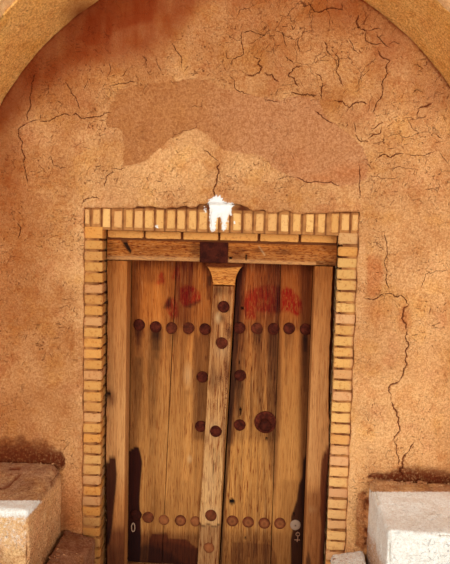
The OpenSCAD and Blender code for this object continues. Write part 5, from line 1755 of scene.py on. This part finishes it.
# The benches on both sides are solid mud over adobe. Sitting and rain have rounded their edges, and
# crumbled earth lies on the low ledges between them and the door.
bench_mud = plaster_material("bench_mud", (240, 186, 122), (166, 114, 76), 1.1, pale_or_sunlit=(255, 248, 230))
bench_rise = 0.045
cracks_on_top = [[(6, 487), (13, 480), (20, 474)], [(10, 461), (19, 460), (31, 459)], [(11, 468), (20, 468)],
                 [(0, 488), (6, 487)]]
left_lit_rows, right_lit_rows, right_lit_columns = (499.5, 501.5), (490.5, 493.5), (368, 371)
for side, seed in (("left", 94), ("right", 95)):
    is_left = side == "left"
    low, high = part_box(side + "_bench")
    points, faces = worn_block(low, high, 0.03, (0.012, 0.012, 0.012),
                               [(0.3, 0.006), (0.09, 0.006), (0.035, 0.006), (0.016, 0.003)], 0.022, seed)
    top = smooth_step(points[:, 2], high.z - 0.06, high.z - 0.02)
    to_wall = smooth_step(points[:, 1], low.y + 0.1, high.y)
    at_edge = smooth_step(np.abs(points[:, 0]), 0.872, 0.94) if is_left else 1.0
    points[:, 2] += bench_rise * top * to_wall * at_edge
    px, py = to_pixels(points)
    inner_side = smooth_step(-np.abs(points[:, 0]), -0.9, -0.87) * (1 - top)
    front = smooth_step(low.y + 0.03 - points[:, 1], 0, 0.02) * (1 - top)
    low_down = 1 - smooth_step(points[:, 2] + 0.03 * soft_noise(points, 0.06, 7), 0.50, 0.62)
    groove = np.zeros(len(points))
    for line in cracks_on_top if is_left else ():
        groove = np.maximum(groove, 1 - smooth_step(-signed_reach(px, py, line), 0.6, 1.8))
    points[:, 2] -= 0.010 * groove * top
    blots = 0.22 * soft_noise(points, 0.07, 3) + 0.16 * soft_noise(points, 0.028, 4)
    # The tones and pale marks below paint the light on the benches: painted sunlight on the lit rows of the
    # tops, on the fronts and on the inner sides, and painted shade on the left top.
    if is_left:
        tone = -0.26 * top + (0.75 - 0.6 * low_down) * front + 0.95 * inner_side
        red = 0.4 * inner_side
        pale = smooth_step(py, *left_lit_rows) * top + 0.28 * front * (1 - low_down)
    else:
        tone = 0.1 * top + 0.5 * front + 0.5 * inner_side
        red = 0.2 * inner_side
        pale = smooth_step(py, *right_lit_rows) * smooth_step(px, *right_lit_columns) * top
        pale = pale + inner_side * (1 - 0.6 * low_down) + front * (1 - low_down)
    red = np.maximum(red, 0.5 * low_down * smooth_step(soft_noise(points, 0.05, 11), -0.2, 0.5) * front)
    pale = np.maximum(pale, (0.02 if is_left else 0.3) * low_down * front)
    worn_side = np.clip(0.75 * (1 - (points[:, 2] - 0.34) / 0.26), 0, 0.7) * inner_side
    worn_front = 0.5 * low_down * front * smooth_step(soft_noise(points, 0.02, 13), 0.2, 0.6)
    marks = {"tone": tone + blots, "red": red, "crack": 0.8 * groove * top, "pale": np.clip(pale, 0, 1),
             "foot": np.maximum(worn_side, worn_front)}
    put_piece(side + "_seat", points, faces, [bench_mud], marks=marks,
              stands_for=(side + "_bench",))
    low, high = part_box(side + "_ledge")
    points, faces = worn_block(low, high, 0.02, (0.012, 0.012, 0.014),
                               [(0.2, 0.006), (0.07, 0.006), (0.03, 0.005), (0.014, 0.003)], 0.02, seed + 5)
    share = (points[:, 0] - low.x) / (high.x - low.x)
    share = share if is_left else 1 - share
    top = smooth_step(points[:, 2], high.z - 0.1, high.z - 0.02)
    points[:, 2] += top * (bench_rise * (1 - share) * smooth_step(points[:, 1], low.y, high.y)
                           - 0.008 * share)
    blots = 0.25 * soft_noise(points, 0.05, 3) + 0.2 * soft_noise(points, 0.02, 4)
    # The left ledge is painted dark as painted shade, and the top of the right ledge is painted light as
    # sunlight, most towards its outer front.
    sunlit_share = 0.65 + 0.35 * smooth_step(points[:, 0] + points[:, 1] * -0.5, 0.90, 0.94)
    marks = {"tone": (-0.9 if is_left else 1.1) + blots, "foot": 0.42 + blots if is_left else 0.0 * blots,
             "pale": 0.0 * top if is_left else top * sunlit_share}
    put_piece(side + "_low_ledge", points, faces, [bench_mud], marks=marks,
              stands_for=(side + "_ledge",))

# Crumbs and clods have fallen from the wall. They lie along the back of the benches and on the ledges,
# and nothing holds them but their own weight.
crumbs = []
heap = np.random.default_rng(77)


def scatter(amount, low, high, size, floor_z):
    """Strews clods over an area, each on the height that the floor_z function gives."""
    for _ in range(amount):
        x, y = heap.uniform(low[0], high[0]), heap.uniform(low[1], high[1])
        half = size * heap.uniform(0.35, 1) ** 1.5
        half = half * np.array([heap.uniform(0.7, 1.3), heap.uniform(0.6, 1.1), heap.uniform(0.4, 0.8)])
        middle = np.array([x, y, floor_z(x, y) + half[2] * 0.25])
        least = float(half.min())
        points, faces = worn_block(middle - half, middle + half, least * 0.8, (0.02, 0.02, 0.02),
                                   [(0.02, least * 0.3)], 0, int(heap.integers(999)))
        crumbs.append((points, faces, {"tone": heap.uniform(-0.4, 0.2), "red": heap.uniform(0, 0.3)}))


left_top, right_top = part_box("left_bench")[1].z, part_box("right_bench")[1].z
scatter(10, (-1.40, -0.075), (-0.90, -0.045), 0.008, lambda x, y: left_top + 0.036)
scatter(40, (0.90, -0.085), (1.42, -0.045), 0.012, lambda x, y: right_top + 0.036)
scatter(30, (-0.865, -0.40), (-0.70, -0.05), 0.010, lambda x, y: 0.370 + 0.03 * (-0.70 - x) / 0.17)
scatter(30, (0.66, -0.40), (0.825, -0.05), 0.010, lambda x, y: 0.355 + 0.03 * (x - 0.66) / 0.17)
points, faces, marks = joined(crumbs)
put_piece("fallen_crumbs", points, faces, [bench_mud], marks=marks)
